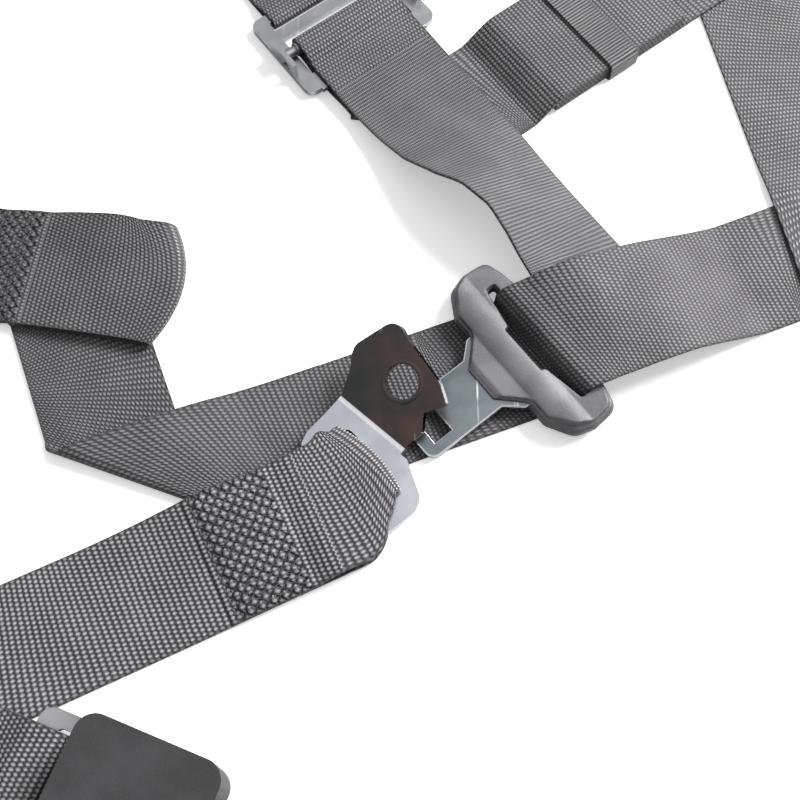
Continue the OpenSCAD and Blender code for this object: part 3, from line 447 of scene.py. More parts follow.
# the webbing's swell over a plate's slot: its middle and half width along the bar, where it starts behind the
# bar's front, and how far it comes forwards in the slot, forwards above it, upwards, and outwards per length
SWELL_MIDDLE = 2
SWELL_HALF = 17
SWELL_START = 9
SWELL_IN_SLOT = 1.6
SWELL_ABOVE = 2.2
SWELL_UP = 0.9
SWELL_OUT = 0.2
# the upper layer of a loop begins this far above its middle, and is all there after the next distance
UPPER_FROM = 1
UPPER_OVER = 1.6


def puffed(p, h, low):
    """The upper layer bulges forwards over the slot and stays wide until it dives into it."""
    base, a = bar_frame(p, h)

    def move(v, reach):
        x, y = at((0, 0), -a, v.x - base[0], v.y - base[1])
        upper = ease((v.z - low - LOOP_R - UPPER_FROM) / UPPER_OVER)
        over = upper * ease((y - BAR_FRONT + SWELL_START) / SWELL_START)
        mound = max(0.0, 1 - ((x - SWELL_MIDDLE) / SWELL_HALF) ** 2)
        out = mound * (SWELL_IN_SLOT * ease((y - BAR_FRONT) / 2) + SWELL_ABOVE * over)
        return Vector((*at((0, 0), a, SWELL_OUT * x * over, out), SWELL_UP * mound * over))

    return move


def plate_loop(name, node, p, h, low, look="webbing"):
    """The loop round the bar of a plate."""
    obj = lay(name, loop_stations(p, h, low), look, round_plan=True, spacing=1.1, shape=puffed(p, h, low),
              ends_at_zero=True)
    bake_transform(obj)
    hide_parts(node)
    return obj


STITCH_PITCH = 4.3
STITCH_PUFF = 0.8
STITCH_MARGIN = 2.5
THREAD_R = 0.34
THREAD_Z = WEB_T / 2 + 0.05
# where the quilting starts and how long it is, on the usual sewn end and on the long one
QUILT = (11.5, 21)
QUILT_B = (12.5, 27)


def quilted(start, length):
    """Relief of the sewn part: webbing puffed up between crossing rows of stitches."""

    def height(u, v):
        inside = min(1.0, max(0.0, min(v - start, start + length - v) / 2.5))
        inside *= min(1.0, max(0.0, min(u, WEB_W - u) / 3))
        cells = abs(sind(180 * (u + v) / STITCH_PITCH) * sind(180 * (u - v) / STITCH_PITCH))
        return inside * (STITCH_PUFF * cells**0.6 - 0.2)

    return height


def ruling_of(stations):
    """The ruling at a distance along the stations, as a function."""
    rows = close_up(stations, 0.5)

    def at_distance(d):
        left, right, _ = min(rows, key=lambda row: abs(row[2] - d))
        return left, right

    return at_distance


def stitch(name, ruling_at, start, length):
    """Zigzag stitch rows that cross the webbing; ruling_at gives the ruling at a distance."""
    paths = []
    steps = int((WEB_W - 2 * STITCH_MARGIN) / (STITCH_PITCH / 2))
    for k in range(int(length / STITCH_PITCH)):
        for phase in (0, 1):
            path = []
            for i in range(steps + 1):
                left, right = ruling_at(start + (k + (i + phase) % 2) * STITCH_PITCH)
                p = left.lerp(right, (STITCH_MARGIN + i * STITCH_PITCH / 2) / WEB_W)
                path.append((p.x, p.y, p.z + THREAD_Z))
            paths.append(path)
    ride(threads(name + "_stitches", paths))


# ---------- materials ----------
# The frame brings plain materials with the record's names, so the finishes are kept apart by their own.
FINISHES = {}


class Board:
    """Puts shader nodes on a tree and wires them."""

    def __init__(self, tree):
        self.tree = tree

    def feed(self, node, sockets):
        """Gives a node's inputs their values, or links them where the value is another node's output."""
        for key, value in sockets.items():
            if isinstance(value, bpy.types.NodeSocket):
                self.tree.links.new(value, node.inputs[key])
            else:
                node.inputs[key].default_value = value

    def wire(self, node, **sockets):
        """Feeds inputs by their names, with underscores for spaces."""
        self.feed(node, {key.replace("_", " "): value for key, value in sockets.items()})

    def put(self, kind, sockets=None, **settings):
        node = self.tree.nodes.new(kind)
        for name, value in settings.items():
            setattr(node, name, value)
        self.feed(node, sockets or {})
        return node

    def math(self, operation, *values):
        return self.put("ShaderNodeMath", dict(enumerate(values)), operation=operation).outputs[0]

    def ramp(self, value, low, high, out_low=0.0, out_high=1.0):
        sockets = {0: value, 1: low, 2: high, 3: out_low, 4: out_high}
        return self.put("ShaderNodeMapRange", sockets, interpolation_type="SMOOTHSTEP").outputs[0]

    def tint(self, factor, a, b, blend="MIX"):
        sockets = {0: factor, 6: a, 7: b}
        return self.put("ShaderNodeMix", sockets, data_type="RGBA", blend_type=blend).outputs[2]

    def noise(self, place, scale, detail=2.0, rough=0.5):
        sockets = {"Vector": place, "Scale": scale, "Detail": detail, "Roughness": rough}
        return self.put("ShaderNodeTexNoise", sockets).outputs["Fac"]

    def coords(self, kind):
        return self.put("ShaderNodeTexCoord").outputs[kind]

    def group(self, name, **sockets):
        node = self.put("ShaderNodeGroup", node_tree=bpy.data.node_groups[name])
        self.wire(node, **sockets)
        return node.outputs


def new_group(name, inputs, outputs):
    """An empty shader node group; returns its board, its inputs and its output node."""
    tree = bpy.data.node_groups.new(name, "ShaderNodeTree")
    for label, kind, default in inputs:
        socket = tree.interface.new_socket(label, in_out="INPUT", socket_type=kind)
        if default is not None:
            socket.default_value = default
    for label, kind in outputs:
        tree.interface.new_socket(label, in_out="OUTPUT", socket_type=kind)
    board = Board(tree)
    return board, board.put("NodeGroupInput").outputs, board.put("NodeGroupOutput")


FLOAT = "NodeSocketFloat"
VECTOR = "NodeSocketVector"


def make_weave_group():
    """Staggered beads in rows across the strap, with pits between them and a smoother selvedge."""
    inputs = [("UV", VECTOR, None), ("Bead pitch", FLOAT, 0.00145), ("Row pitch", FLOAT, 0.0018),
              ("Rib share", FLOAT, 0.3), ("Wander", FLOAT, 0.3), ("Strap width", FLOAT, WEB_W * MM)]
    outputs = [("Height", FLOAT), ("Bead", FLOAT), ("Pit", FLOAT), ("Selvedge", FLOAT)]
    b, i, out = new_group("Weave", inputs, outputs)
    axes = b.put("ShaderNodeSeparateXYZ", {0: i["UV"]}).outputs
    drift = b.noise(i["UV"], 260.0, 2.0)
    shake = b.math("MULTIPLY", b.math("SUBTRACT", drift, 0.5), i["Wander"])
    turns_u = b.math("ADD", b.math("DIVIDE", axes["X"], i["Bead pitch"]), shake)
    turns_v = b.math("ADD", b.math("DIVIDE", axes["Y"], i["Row pitch"]), shake)
    across = b.math("COSINE", b.math("MULTIPLY", turns_u, math.tau))
    stagger = b.math("COSINE", b.math("MULTIPLY", turns_v, math.pi))
    rows = b.math("COSINE", b.math("MULTIPLY", turns_v, math.tau))
    lattice = b.math("MULTIPLY", across, stagger)
    rest = b.math("SUBTRACT", 1.0, i["Rib share"])
    both = b.math("ADD", b.math("MULTIPLY", lattice, rest), b.math("MULTIPLY", rows, i["Rib share"]))
    yarn = b.noise(i["UV"], 2600.0, 3.0, 0.7)
    rough = b.math("MULTIPLY", b.math("SUBTRACT", yarn, 0.5), 0.5)
    both = b.math("ADD", both, rough)
    middle = b.math("MULTIPLY", i["Strap width"], 0.5)
    off = b.math("ABSOLUTE", b.math("SUBTRACT", axes["X"], middle))
    rim = b.ramp(b.math("SUBTRACT", middle, off), 0.0016, 0.0004)
    b.wire(out, Height=b.ramp(both, -0.9, 0.9), Bead=b.ramp(both, 0.25, 0.8), Pit=b.ramp(both, 0.05, -0.5),
           Selvedge=rim)


# how unevenly the stitch lines run: the noise's scale and its reach in metres
QUILT_SHAKE_SCALE = 420.0
QUILT_SHAKE = 0.0024


def make_quilt_group():
    """Where the stitching is, and its crossing lines."""
    inputs = [("UV", VECTOR, None), ("Start", FLOAT, 0.0), ("Length", FLOAT, 0.02), ("Pitch", FLOAT, 0.0043)]
    outputs = [("Inside", FLOAT), ("Gap", FLOAT)]
    b, i, out = new_group("Quilt", inputs, outputs)
    axes = b.put("ShaderNodeSeparateXYZ", {0: i["UV"]}).outputs
    drift = b.noise(i["UV"], QUILT_SHAKE_SCALE, 2.0)
    shake = b.math("MULTIPLY", b.math("SUBTRACT", drift, 0.5), QUILT_SHAKE)
    turn_of = b.math("DIVIDE", math.pi, i["Pitch"])
    waves = []
    for operation in ("ADD", "SUBTRACT"):
        place = b.math("ADD", b.math(operation, axes["X"], axes["Y"]), shake)
        waves.append(b.math("ABSOLUTE", b.math("SINE", b.math("MULTIPLY", place, turn_of))))
    end = b.math("ADD", i["Start"], i["Length"])
    after = b.ramp(b.math("SUBTRACT", axes["Y"], i["Start"]), -0.0006, 0.0006)
    before = b.ramp(b.math("SUBTRACT", end, axes["Y"]), -0.0006, 0.0006)
    inside = b.math("MULTIPLY", after, before)
    lines = b.ramp(b.math("MULTIPLY", *waves), 0.5, 0.1)
    b.wire(out, Inside=inside, Gap=b.math("MULTIPLY", inside, lines))


def make_wear_group():
    """Fine brushing, sparse scratches and cloudy patches on plated metal."""
    inputs = [("Place", VECTOR, None), ("Brush scale", FLOAT, 900.0), ("Scratches", FLOAT, 0.5)]
    outputs = [("Brushing", FLOAT), ("Scratch", FLOAT), ("Clouds", FLOAT)]
    b, i, out = new_group("Metal wear", inputs, outputs)
    stretched = b.put("ShaderNodeMapping", {"Vector": i["Place"], "Scale": (1.0, 0.06, 1.0),
                                            "Rotation": (0, 0, 0.9)})
    brushing = b.noise(stretched.outputs[0], i["Brush scale"], 3.0, 0.6)
    turned = b.put("ShaderNodeMapping", {"Vector": i["Place"], "Scale": (1.0, 0.03, 0.4),
                                         "Rotation": (0, 0, -0.5)})
    lines = b.noise(turned.outputs[0], 420.0, 1.0, 0.4)
    sparse = b.noise(i["Place"], 70.0, 1.0)
    scratch = b.math("MULTIPLY", b.ramp(lines, 0.66, 0.72), b.ramp(sparse, 0.5, 0.62))
    b.wire(out, Brushing=brushing, Scratch=b.math("MULTIPLY", scratch, i["Scratches"]),
           Clouds=b.noise(i["Place"], 45.0, 3.0, 0.6))


def make_grain_group():
    """Moulded plastic: fine stipple with slow changes of tone."""
    inputs = [("Place", VECTOR, None), ("Grain scale", FLOAT, 1500.0)]
    outputs = [("Grain", FLOAT), ("Speck", FLOAT), ("Tone", FLOAT)]
    b, i, out = new_group("Moulded grain", inputs, outputs)
    b.wire(out, Grain=b.noise(i["Place"], i["Grain scale"], 3.0, 0.65),
           Speck=b.ramp(b.noise(i["Place"], 2300.0, 1.0), 0.6, 0.72), Tone=b.noise(i["Place"], 60.0, 2.0))


def new_material(name):
    """A material's board and its shader."""
    material = FINISHES[name] = bpy.data.materials.new("finish_" + name)
    material.use_nodes = True
    board = Board(material.node_tree)
    shader = material.node_tree.nodes["Principled BSDF"]
    return board, shader


def bump(board, shader, height, distance, strength=1.0):
    node = board.put("ShaderNodeBump", {"Height": height, "Distance": distance, "Strength": strength})
    board.wire(shader, Normal=node.outputs[0])


def webbing_material(name, settings, bead, row, rib, depth=0.00042, quilt=None, gain=1.0, contrast=0.65):
    """Woven webbing, with painted shade in its pits and a painted highlight on its beads; gain brightens its
    yarn colours as painted light, and quilt is where its stitching starts and how long it is.
    """
    b, shader = new_material(name)
    uv = b.coords("UV")
    weave = b.group("Weave", UV=uv, Bead_pitch=bead * MM, Row_pitch=row * MM, Rib_share=rib,
                    Wander=settings.wander)
    grain = b.group("Moulded grain", Place=b.coords("Object"), Grain_scale=900.0)
    # Painted light: gain lifts the ground and bead colours where a strap is meant to look more brightly lit.
    dull, lit, shine = ((*(gain * c for c in x), 1) for x in (settings.ground, settings.lit, settings.bead))
    ground = b.tint(b.ramp(grain["Tone"], 0.3, 0.7), dull, lit)
    # contrast sets how strong the painted bead highlight and the painted pit shade are
    bead_share, height = b.math("MULTIPLY", weave["Bead"], 0.8 * contrast), weave["Height"]
    if quilt:
        sewn = b.group("Quilt", UV=uv, Start=quilt[0] * MM, Length=quilt[1] * MM, Pitch=STITCH_PITCH * MM)
        # Inside the quilting the painted bead highlight is weakened.
        bead_share = b.math("MULTIPLY", bead_share, b.ramp(sewn["Inside"], 0.0, 1.0, 1.0, 0.4))
        height = b.math("SUBTRACT", height, b.math("MULTIPLY", sewn["Gap"], 2.2))
    # Painted shade darkens the pits towards the pit colour; a painted highlight lightens the beads towards
    # the bead colour.
    colour = b.tint(b.math("MULTIPLY", weave["Pit"], 0.35 + 0.6 * contrast), ground, (*settings.pit, 1))
    colour = b.tint(bead_share, colour, shine)
    # Painted shade: the gaps between the quilted puffs are darkened almost to the pit colour.
    if quilt:
        colour = b.tint(b.math("MULTIPLY", sewn["Gap"], 0.97), colour, (*settings.pit, 1))
    colour = b.tint(b.math("MULTIPLY", weave["Selvedge"], 0.75), colour, (*settings.selvedge, 1))
    b.wire(shader, Base_Color=colour, Roughness=b.ramp(weave["Bead"], 0.0, 1.0, 0.6, 0.4),
         Specular_IOR_Level=0.55, Sheen_Weight=0.1, Sheen_Roughness=0.4)
    bump(b, shader, height, depth)


def plated_material(name, colour, dark, roughness, brush=0.0000012, scratches=0.6):
    b, shader = new_material(name)
    wear = b.group("Metal wear", Place=b.coords("Object"), Scratches=scratches)
    tone = b.tint(b.ramp(wear["Clouds"], 0.35, 0.7), (*dark, 1), (*colour, 1))
    tone = b.tint(wear["Scratch"], tone, (0.85, 0.86, 0.87, 1))
    rough = b.math("ADD", b.ramp(wear["Brushing"], 0.3, 0.7, roughness * 0.98, roughness * 1.02),
                   b.math("MULTIPLY", wear["Scratch"], 0.2))
    b.wire(shader, Base_Color=tone, Metallic=1.0, Roughness=rough)
    bump(b, shader, b.math("SUBTRACT", wear["Brushing"], wear["Scratch"]), brush, 0.3)


def moulded_material(name, colour, pale, roughness, grain_scale=1500.0, depth=0.00006, sides=1.0):
    """Grained plastic; sides dims the faces that stand upright with painted shade."""
    b, shader = new_material(name)
    grain = b.group("Moulded grain", Place=b.coords("Object"), Grain_scale=grain_scale)
    tone = b.tint(b.ramp(grain["Tone"], 0.35, 0.7, 0.0, 0.35), (*colour, 1), (*pale, 1))
    tone = b.tint(b.math("MULTIPLY", grain["Speck"], 0.45), tone, (*pale, 1))
    facing = b.put("ShaderNodeNewGeometry").outputs["Normal"]
    upright = b.put("ShaderNodeSeparateXYZ", {0: facing}).outputs["Z"]
    # Painted shade: faces that stand upright are darkened towards black.
    tone = b.tint(b.ramp(upright, 0.75, 0.3, 0.0, 1.0 - sides), tone, (0, 0, 0, 1))
    b.wire(shader, Base_Color=tone,
         Roughness=b.ramp(grain["Grain"], 0.3, 0.7, roughness - 0.08, roughness + 0.08),
         Specular_IOR_Level=0.5)
    bump(b, shader, grain["Grain"], depth)


def thread_material(settings):
    b, shader = new_material("thread")
    twist = b.noise(b.coords("Object"), 1900.0, 2.0)
    colour = b.tint(twist, (*settings.pit, 1), (*settings.lit, 1))
    b.wire(shader, Base_Color=colour, Roughness=0.6, Sheen_Weight=0.1, Sheen_Roughness=0.4)
    bump(b, shader, twist, 0.0002)


# ---------- settings ----------
def colour_prop(name, description, default):
    return FloatVectorProperty(name=name, description=description, default=default, size=3, min=0, max=1,
                               subtype="COLOR")


class HarnessWebbing(bpy.types.PropertyGroup):
    ground: colour_prop("Ground", "Colour of the weave's ground", (0.085, 0.081, 0.087))
    lit: colour_prop("Paler ground", "Colour of the ground where the yarn is paler", (0.125, 0.121, 0.127))
    # pit is painted shade in the weave's hollows, and bead is a painted highlight on its raised yarn
    pit: colour_prop("Pits", "Colour deep in the weave", (0.008, 0.007, 0.01))
    bead: colour_prop("Beads", "Colour of the raised yarn", (0.3, 0.295, 0.3))
    selvedge: colour_prop("Selvedge", "Colour of the woven edge", (0.05, 0.048, 0.052))
    bead_pitch: FloatProperty(name="Bead pitch", default=1.45,
                              description="Distance between yarns, in millimetres")
    row_pitch: FloatProperty(name="Row pitch", default=1.8,
                             description="Distance between rows, in millimetres")
    wander: FloatProperty(name="Wander", description="How unevenly the yarns lie", default=0.3, min=0, max=1,
                          subtype="FACTOR")


class HarnessFittings(bpy.types.PropertyGroup):
    steel: colour_prop("Plated steel", "Colour of the satin plating", (0.72, 0.74, 0.79))
    steel_dark: colour_prop("Plated steel, dull", "Colour where the plating is dull", (0.56, 0.58, 0.63))
    # The polished flap's colours are a painted reflection: dark and brownish, as the flap shows its
    # surroundings.
    mirror: colour_prop("Polished flap", "Colour of the polished bolt flap", (0.14, 0.09, 0.084))
    flap_painted_reflection_dark: colour_prop("Polished flap, dark", "Colour of its darker clouds", (0.06, 0.066, 0.066))
    blade: colour_prop("Blade", "Colour of the tongue's plating", (0.3, 0.335, 0.355))
    blade_dark: colour_prop("Blade, dull", "Colour where it is dull", (0.17, 0.2, 0.215))
    cover: colour_prop("Tongue cover", "Colour of the moulded cover", (0.115, 0.112, 0.12))
    cover_pale: colour_prop("Tongue cover, pale", "Colour of its rubbed grain", (0.3, 0.295, 0.31))
    button: colour_prop("Button", "Colour of the release button", (0.55, 0.012, 0.01))
    edge: FloatProperty(name="Edge radius", description="Rounding of the pressed edges", default=0.00035,
                        unit="LENGTH")


class HarnessStage(bpy.types.PropertyGroup):
    elevation: FloatProperty(name="Elevation", description="Camera above the table", default=math.radians(68),
                             subtype="ANGLE")
    distance: FloatProperty(name="Distance", description="Camera to the middle", default=0.47, unit="LENGTH")
    lens: FloatProperty(name="Lens", description="Focal length in millimetres", default=57.96)
    key: FloatProperty(name="Key light", description="Power of the key light", default=30.0, unit="POWER")
    fill: FloatProperty(name="Fill light", description="Power of the fill light", default=1.5, unit="POWER")


class HarnessOperator:
    """What the harness operators share: they run one builder and fail loudly."""

    bl_options = {"REGISTER", "UNDO"}

    def execute(self, context):
        self.build(context.scene)
        return {"FINISHED"}


# the share of the rib in the weave, and the yarn and row pitches of the other weaves against the usual one
RIB = 0.42
COARSE = (1.15, 1.2)
RIBBED = (0.52, 0.85)


class HARNESS_OT_finishes(HarnessOperator, bpy.types.Operator):
    """Make the materials"""

    bl_idname = "harness.finishes"
    bl_label = "Make finishes"

    def build(self, scene):
        web, fit = scene.harness_webbing, scene.harness_fittings
        make_weave_group()
        make_quilt_group()
        make_wear_group()
        make_grain_group()
        usual = (web, web.bead_pitch, web.row_pitch, RIB)
        coarse = (web, web.bead_pitch * COARSE[0], web.row_pitch * COARSE[1], RIB)
        ribbed = (web, web.bead_pitch * RIBBED[0], web.row_pitch * RIBBED[1], 0.55)
        webbing_material("webbing", *usual)
        # Painted light: gain lifts the buckle strap's colours, and lifts its sewn end more than the rest of
        # it.
        webbing_material("webbing_coarse", *coarse, gain=1.6, contrast=1.0)
        webbing_material("webbing_sewn", *usual, quilt=QUILT)
        webbing_material("webbing_coarse_sewn", *coarse, quilt=QUILT_B, gain=1.9, contrast=1.0)
        webbing_material("webbing_ribbed", *ribbed, depth=0.0003)
        webbing_material("elastic", web, 1.1, 1.4, 0.85)
        thread_material(web)
        plated_material("plate", fit.steel, fit.steel_dark, 0.27)
        # Painted reflection: the bolt flap and the coined ring take these dark colours.
        plated_material("plate_polished", fit.mirror, fit.flap_painted_reflection_dark, 0.1, 0.000004, 0.25)
        plated_material("blade", fit.blade, fit.blade_dark, 0.3, 0.000012, 1.0)
        # Painted highlight: the rim finish is near-white plating for bevelled edges and for a plate's bend.
        plated_material("rim", (0.9, 0.91, 0.92), (0.8, 0.81, 0.83), 0.3, 0.00001, 0.2)
        plated_material("inner_steel", (0.45, 0.45, 0.46), (0.3, 0.3, 0.31), 0.35)
        plated_material("adjuster", (0.5, 0.51, 0.53), (0.36, 0.37, 0.39), 0.3)
        plated_material("spring", (0.6, 0.6, 0.62), (0.42, 0.42, 0.44), 0.28)
        # The cover's upright side walls get painted shade.
        moulded_material("cover", fit.cover, fit.cover_pale, 0.46, sides=0.45)
        moulded_material("shell", (0.028, 0.028, 0.03), (0.07, 0.07, 0.074), 0.48)
        moulded_material("button", fit.button, (0.72, 0.06, 0.05), 0.38)
        moulded_material("ejector", (0.05, 0.05, 0.055), (0.12, 0.12, 0.125), 0.45)


# ---------- tongue strap ----------
def on_belt(d):
    return along(TURN_C, HEAD_BELT, d)


BELT_FALL = [(16, 2.1, 5.8, 144), (30, 1.2, 4.2, 130), (42, 0.6, 1.6, 120), (54, 0.6, 0.7, 114),
             (66, 0.6, 0.6, 110.5), (68, 0.6, 0.6, 110.5)]
LAP_T_LEAN = [(0, Z_LOW, Z_LOW), (14, Z_LOW, Z_LOW), (30, Z_LOW + 2.8, Z_LOW + 3),
              (46, Z_LOW + 7.2, Z_LOW + 4.3), (64, Z_LOW + 10.4, Z_LOW + 4.6), (78, Z_LOW + 11, Z_LOW + 4.6)]
SLOT_TURN = -52
RISE_PATH = [(-31, 0.6, 0.6), (-20, 0.6, 0.6), (-8, 0.8, 0.8), (-2.4, 1.7, 1.7), (-0.5, 3.4, 3.5),
             (0.1, 5.5, 5.8), (0.3, 9.8, 10.2), (1.5, 12.2, 12.6), (4.6, 13.3, 14.2), (9.5, 13.6, 14.9)]
ARCH = [(15, -56, 13.4, 17.2), (24, -62, 13.2, 18.8), (36, -66, 13.4, 16), (50, -68, 12.6, 12),
        (62, -68.5, 9, 7.6), (74, -68.5, 4.2, 3.4), (86, -68.5, 0.6, 0.6)]
TAIL_DRAPE = [(100, 5, 4.8, 0), (84, 6.8, 4.4, 0), (66, 12, 4, 0), (50, 19, 3.2, 1), (38, 23.5, 1.8, 2),
              (26, 24, 0.9, 3), (14, 20, 0.6, 4.6), (4, 15.4, 0.6, 5.6)]
TAIL_LIFT = 12.8
TAIL_IN = 5.8
TAIL_STOP = -12


def lap_stations():
    made = [flat(along(LAP_T_END, HEAD_LAP_T, d), HEAD_LAP_T, high, low, 1) for d, high, low in LAP_T_LEAN]
    made += fold(TURN_A, HEAD_LAP_T, HEAD_LAP_T + 180, (Z_OVER, Z_OVER_LOW), (Z_UNDER, Z_UNDER), 1)
    made.append(level(along(TURN_A, HEAD_LAP_T, -20), HEAD_LAP_T + 180, Z_TWO + 0.3, -1))
    made += fold(TURN_B, HEAD_LAP_T + 180, HEAD_UNDER, (Z_TWO, Z_TWO), (Z_LOW, Z_LOW), -1)
    made += wind(TURN_C_IN, HEAD_UNDER, TURN_C, HEAD_BELT, FOLD_C, (Z_LOW, Z_LOW), (Z_TWO, Z_CURL), 1)
    made += [rule(on_belt(d), HEAD_BELT, r, low, high, -1) for d, low, high, r in BELT_FALL]
    return made


# the lap's folded edge bows out by BOW at the middle BOW_Y, less BOW_FALL times the distance from it squared;
# the bow begins at BOW_X, is whole after BOW_OVER, and ends BOW_REACH along the run
BOW = 2.0
BOW_Y = 41.5
BOW_FALL = 0.0135
BOW_X = -112
BOW_OVER = 22
BOW_REACH = 130


def rounded_turn(p, reach):
    """Lets the folded edge of the lap's turn bow out."""
    near = min(1.0, max(0.0, (p.x - BOW_X) / BOW_OVER)) if reach < BOW_REACH else 0.0
    return Vector((near * near * (BOW - BOW_FALL * (p.y - BOW_Y) ** 2), 0, 0))


def rise_stations():
    made = [level(on_belt(BELT_B), HEAD_BELT, Z_LOW, -1)]
    made += [rule(along(SLOT_MID, HEAD_BELT, d), HEAD_BELT, SLOT_TURN, low, high, -1)
             for d, low, high in RISE_PATH]
    made += [rule(along(SLOT_MID, HEAD_SHOULDER, d), HEAD_SHOULDER, r, low, high, -1)
             for d, r, low, high in ARCH]
    made.append(level(along(SLOT_MID, HEAD_SHOULDER, RISE_END), HEAD_SHOULDER, Z_LOW, -1))
    return made


SPLIT_AT = 7


def shoulder_stations():
    start = along(SLOT_MID, HEAD_SHOULDER, RISE_END)
    made = [level(start, HEAD_SHOULDER, Z_LOW, -1)]
    made += fold(TURN_D, HEAD_SHOULDER, HEAD_SIDE, (Z_LOW, Z_LOW), (Z_TWO, Z_TWO), -1)
    made += runs(TURN_D, HEAD_SIDE, 1, (24, Z_TWO), (44, Z_LOW))
    made += fold(TURN_E, HEAD_SIDE, HEAD_IN, (Z_LOW, Z_LOW), (Z_TWO, Z_TWO), 1)
    made += runs(TURN_E, HEAD_IN, -1, (FOLD_NEAR - 2, Z_TWO))
    return made


TONGUE_STACK_LEN = 66
BUCKLE_STACK_LEN = 64


def folds_stations():
    p = along(TURN_E, HEAD_IN, FOLD_NEAR)
    q = along(p, HEAD_IN, 6)
    top = Z_STACK + (LAYERS - 1) * Z_STEP
    made = [level(along(p, HEAD_IN, -2), HEAD_IN, Z_TWO, -1),
            level(along(q, HEAD_IN, 3), HEAD_IN, Z_STACK, -1)]
    made += pleats(q, HEAD_IN, TONGUE_STACK_LEN, LAYERS, Z_STACK, -1)
    made += runs(q, HEAD_IN, -1, (TONGUE_STACK_LEN - 4, top), (TONGUE_STACK_LEN + 4, top * 0.6),
                 (TONGUE_STACK_LEN + 12, Z_LOW))
    made += fold(TURN_F, HEAD_IN, HEAD_TAIL, (Z_LOW, Z_LOW), (Z_TWO, Z_TWO), -1)
    made += runs(TURN_F, HEAD_TAIL, 1, (26, Z_TWO))
    made += runs(ADJ_A, HEAD_TAIL, 1, (ADJ_IN, Z_LOW))
    return made


def wrap_stations(p, a, side):
    """Round the slide bar: in under the front bar and out over it."""
    made = runs(p, a, side, (ADJ_IN, Z_LOW), (WINDOW_FRONT + 1, Z_LOW),
                (-WRAP_R - 0.4, SLIDE_Z - WRAP_R - 0.3))
    made += turn(p, a, SLIDE_Z - WRAP_R, SLIDE_Z + WRAP_R, side)
    back = a + 180
    made += [level(along(p, a, -5), back, SLIDE_Z + WRAP_R * 0.8, -side),
             level(along(p, a, WINDOW_FRONT), back, ADJ_TOP + 1.4, -side),
             level(along(p, a, ADJ_FRONT + 1), back, Z_OUT, -side),
             level(along(p, a, ADJ_OUT), back, Z_OUT, -side)]
    return made


def tail_stations():
    back = HEAD_TAIL + 180
    made = [level(along(ADJ_A, HEAD_TAIL, ADJ_OUT), back, Z_OUT, -1)]
    made += [roll(along(TAIL_FROM, HEAD_TAIL, d), back, up, low, -1, drawn)
             for d, up, low, drawn in TAIL_DRAPE]
    made.append((roll(along(TAIL_FROM, HEAD_TAIL, -4), back, TAIL_LIFT, Z_LOW, -1, TAIL_IN)[0],
                 roll(along(TAIL_FROM, HEAD_TAIL, TAIL_STOP), back, TAIL_LIFT, Z_LOW, -1)[1]))
    return made


def lean(table, d):
    """Heights of a leaning run's two edges at distance d."""
    for (d0, l0, r0), (d1, l1, r1) in zip(table, table[1:]):
        if d <= d1:
            t = (d - d0) / (d1 - d0)
            return l0 + (l1 - l0) * t, r0 + (r1 - r0) * t
    return table[-1][1:]


def sewn_top(p, h, table, length):
    """The folded-back end of a loop, sewn down on the run from p on heading h, which leans by the table."""
    up = 2 * LOOP_R
    made = []
    for d, up_l, up_r in ((0, up, up), (SQUARE_CUT, up, up), (5, 3.6, 3.2), (10, 1.6, 1.6),
                          (15, TOUCHING, TOUCHING), (23, TOUCHING, TOUCHING),
                          (length - 5, TOUCHING, TOUCHING), (length, 0.4, 0.4)):
        low_l, low_r = lean(table, d)
        made.append(flat(along(p, h, d), h, low_l + up_l, low_r + up_r, 1))
    return made


def sew_down(name, stations, quilt=QUILT, look="webbing_sewn"):
    """The sewn end with its quilted relief, and the zigzag threads over it."""
    start, size = quilt
    ride(lay(name, stations, look, columns=56, spacing=0.8, relief=quilted(start, size)))
    stitch(name, ruling_of(stations), start + 1, size - 2)


class HARNESS_OT_tongue_strap(HarnessOperator, bpy.types.Operator):
    """Lay the strap that carries the tongue"""

    bl_idname = "harness.tongue_strap"
    bl_label = "Lay tongue strap"

    def build(self, scene):
        back = HEAD_LAP_T + 180
        plate_loop("webbing_tongue_loop", "tongue_strap_loop", LAP_T_END, back,
                   Z_LOW)
        lap = ride(lay("webbing_tongue_lap", lap_stations(), shape=rounded_turn), "tongue_strap_lap")
        run = lap["run_end"]
        sew_down("webbing_tongue_lap_end", sewn_top(LAP_T_END, HEAD_LAP_T, LAP_T_LEAN, SEWN_LEN))
        belt = [level(on_belt(d), HEAD_BELT, Z_LOW, -1) for d in (BELT_A, BELT_B)]
        run = ride(lay("webbing_tongue_belt", belt, run=run), "tongue_strap_belt")["run_end"]
        rise = rise_stations()
        through = lay("webbing_tongue_rise", rise[: SPLIT_AT + 1], run=run, spacing=1.2)
        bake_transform(through)
        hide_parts("tongue_strap_rise")
        over = lay("webbing_tongue_arch", rise[SPLIT_AT:], run=through["run_end"])
        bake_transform(over)
        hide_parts("tongue_strap_rise")
        run = ride(lay("webbing_tongue_shoulder", shoulder_stations(), run=over["run_end"]),
                   "tongue_strap_shoulder")["run_end"]
        run = ride(lay("webbing_tongue_folds", folds_stations(), run=run), "tongue_strap_folds")["run_end"]
        wrapped = lay("webbing_tongue_wrap", wrap_stations(ADJ_A, HEAD_TAIL, 1), run=run)
        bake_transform(wrapped)
        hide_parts("tongue_strap_tail")
        tail = lay("webbing_tongue_tail", tail_stations(), "webbing_ribbed", run=wrapped["run_end"])
        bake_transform(tail)
        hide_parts("tongue_strap_tail")


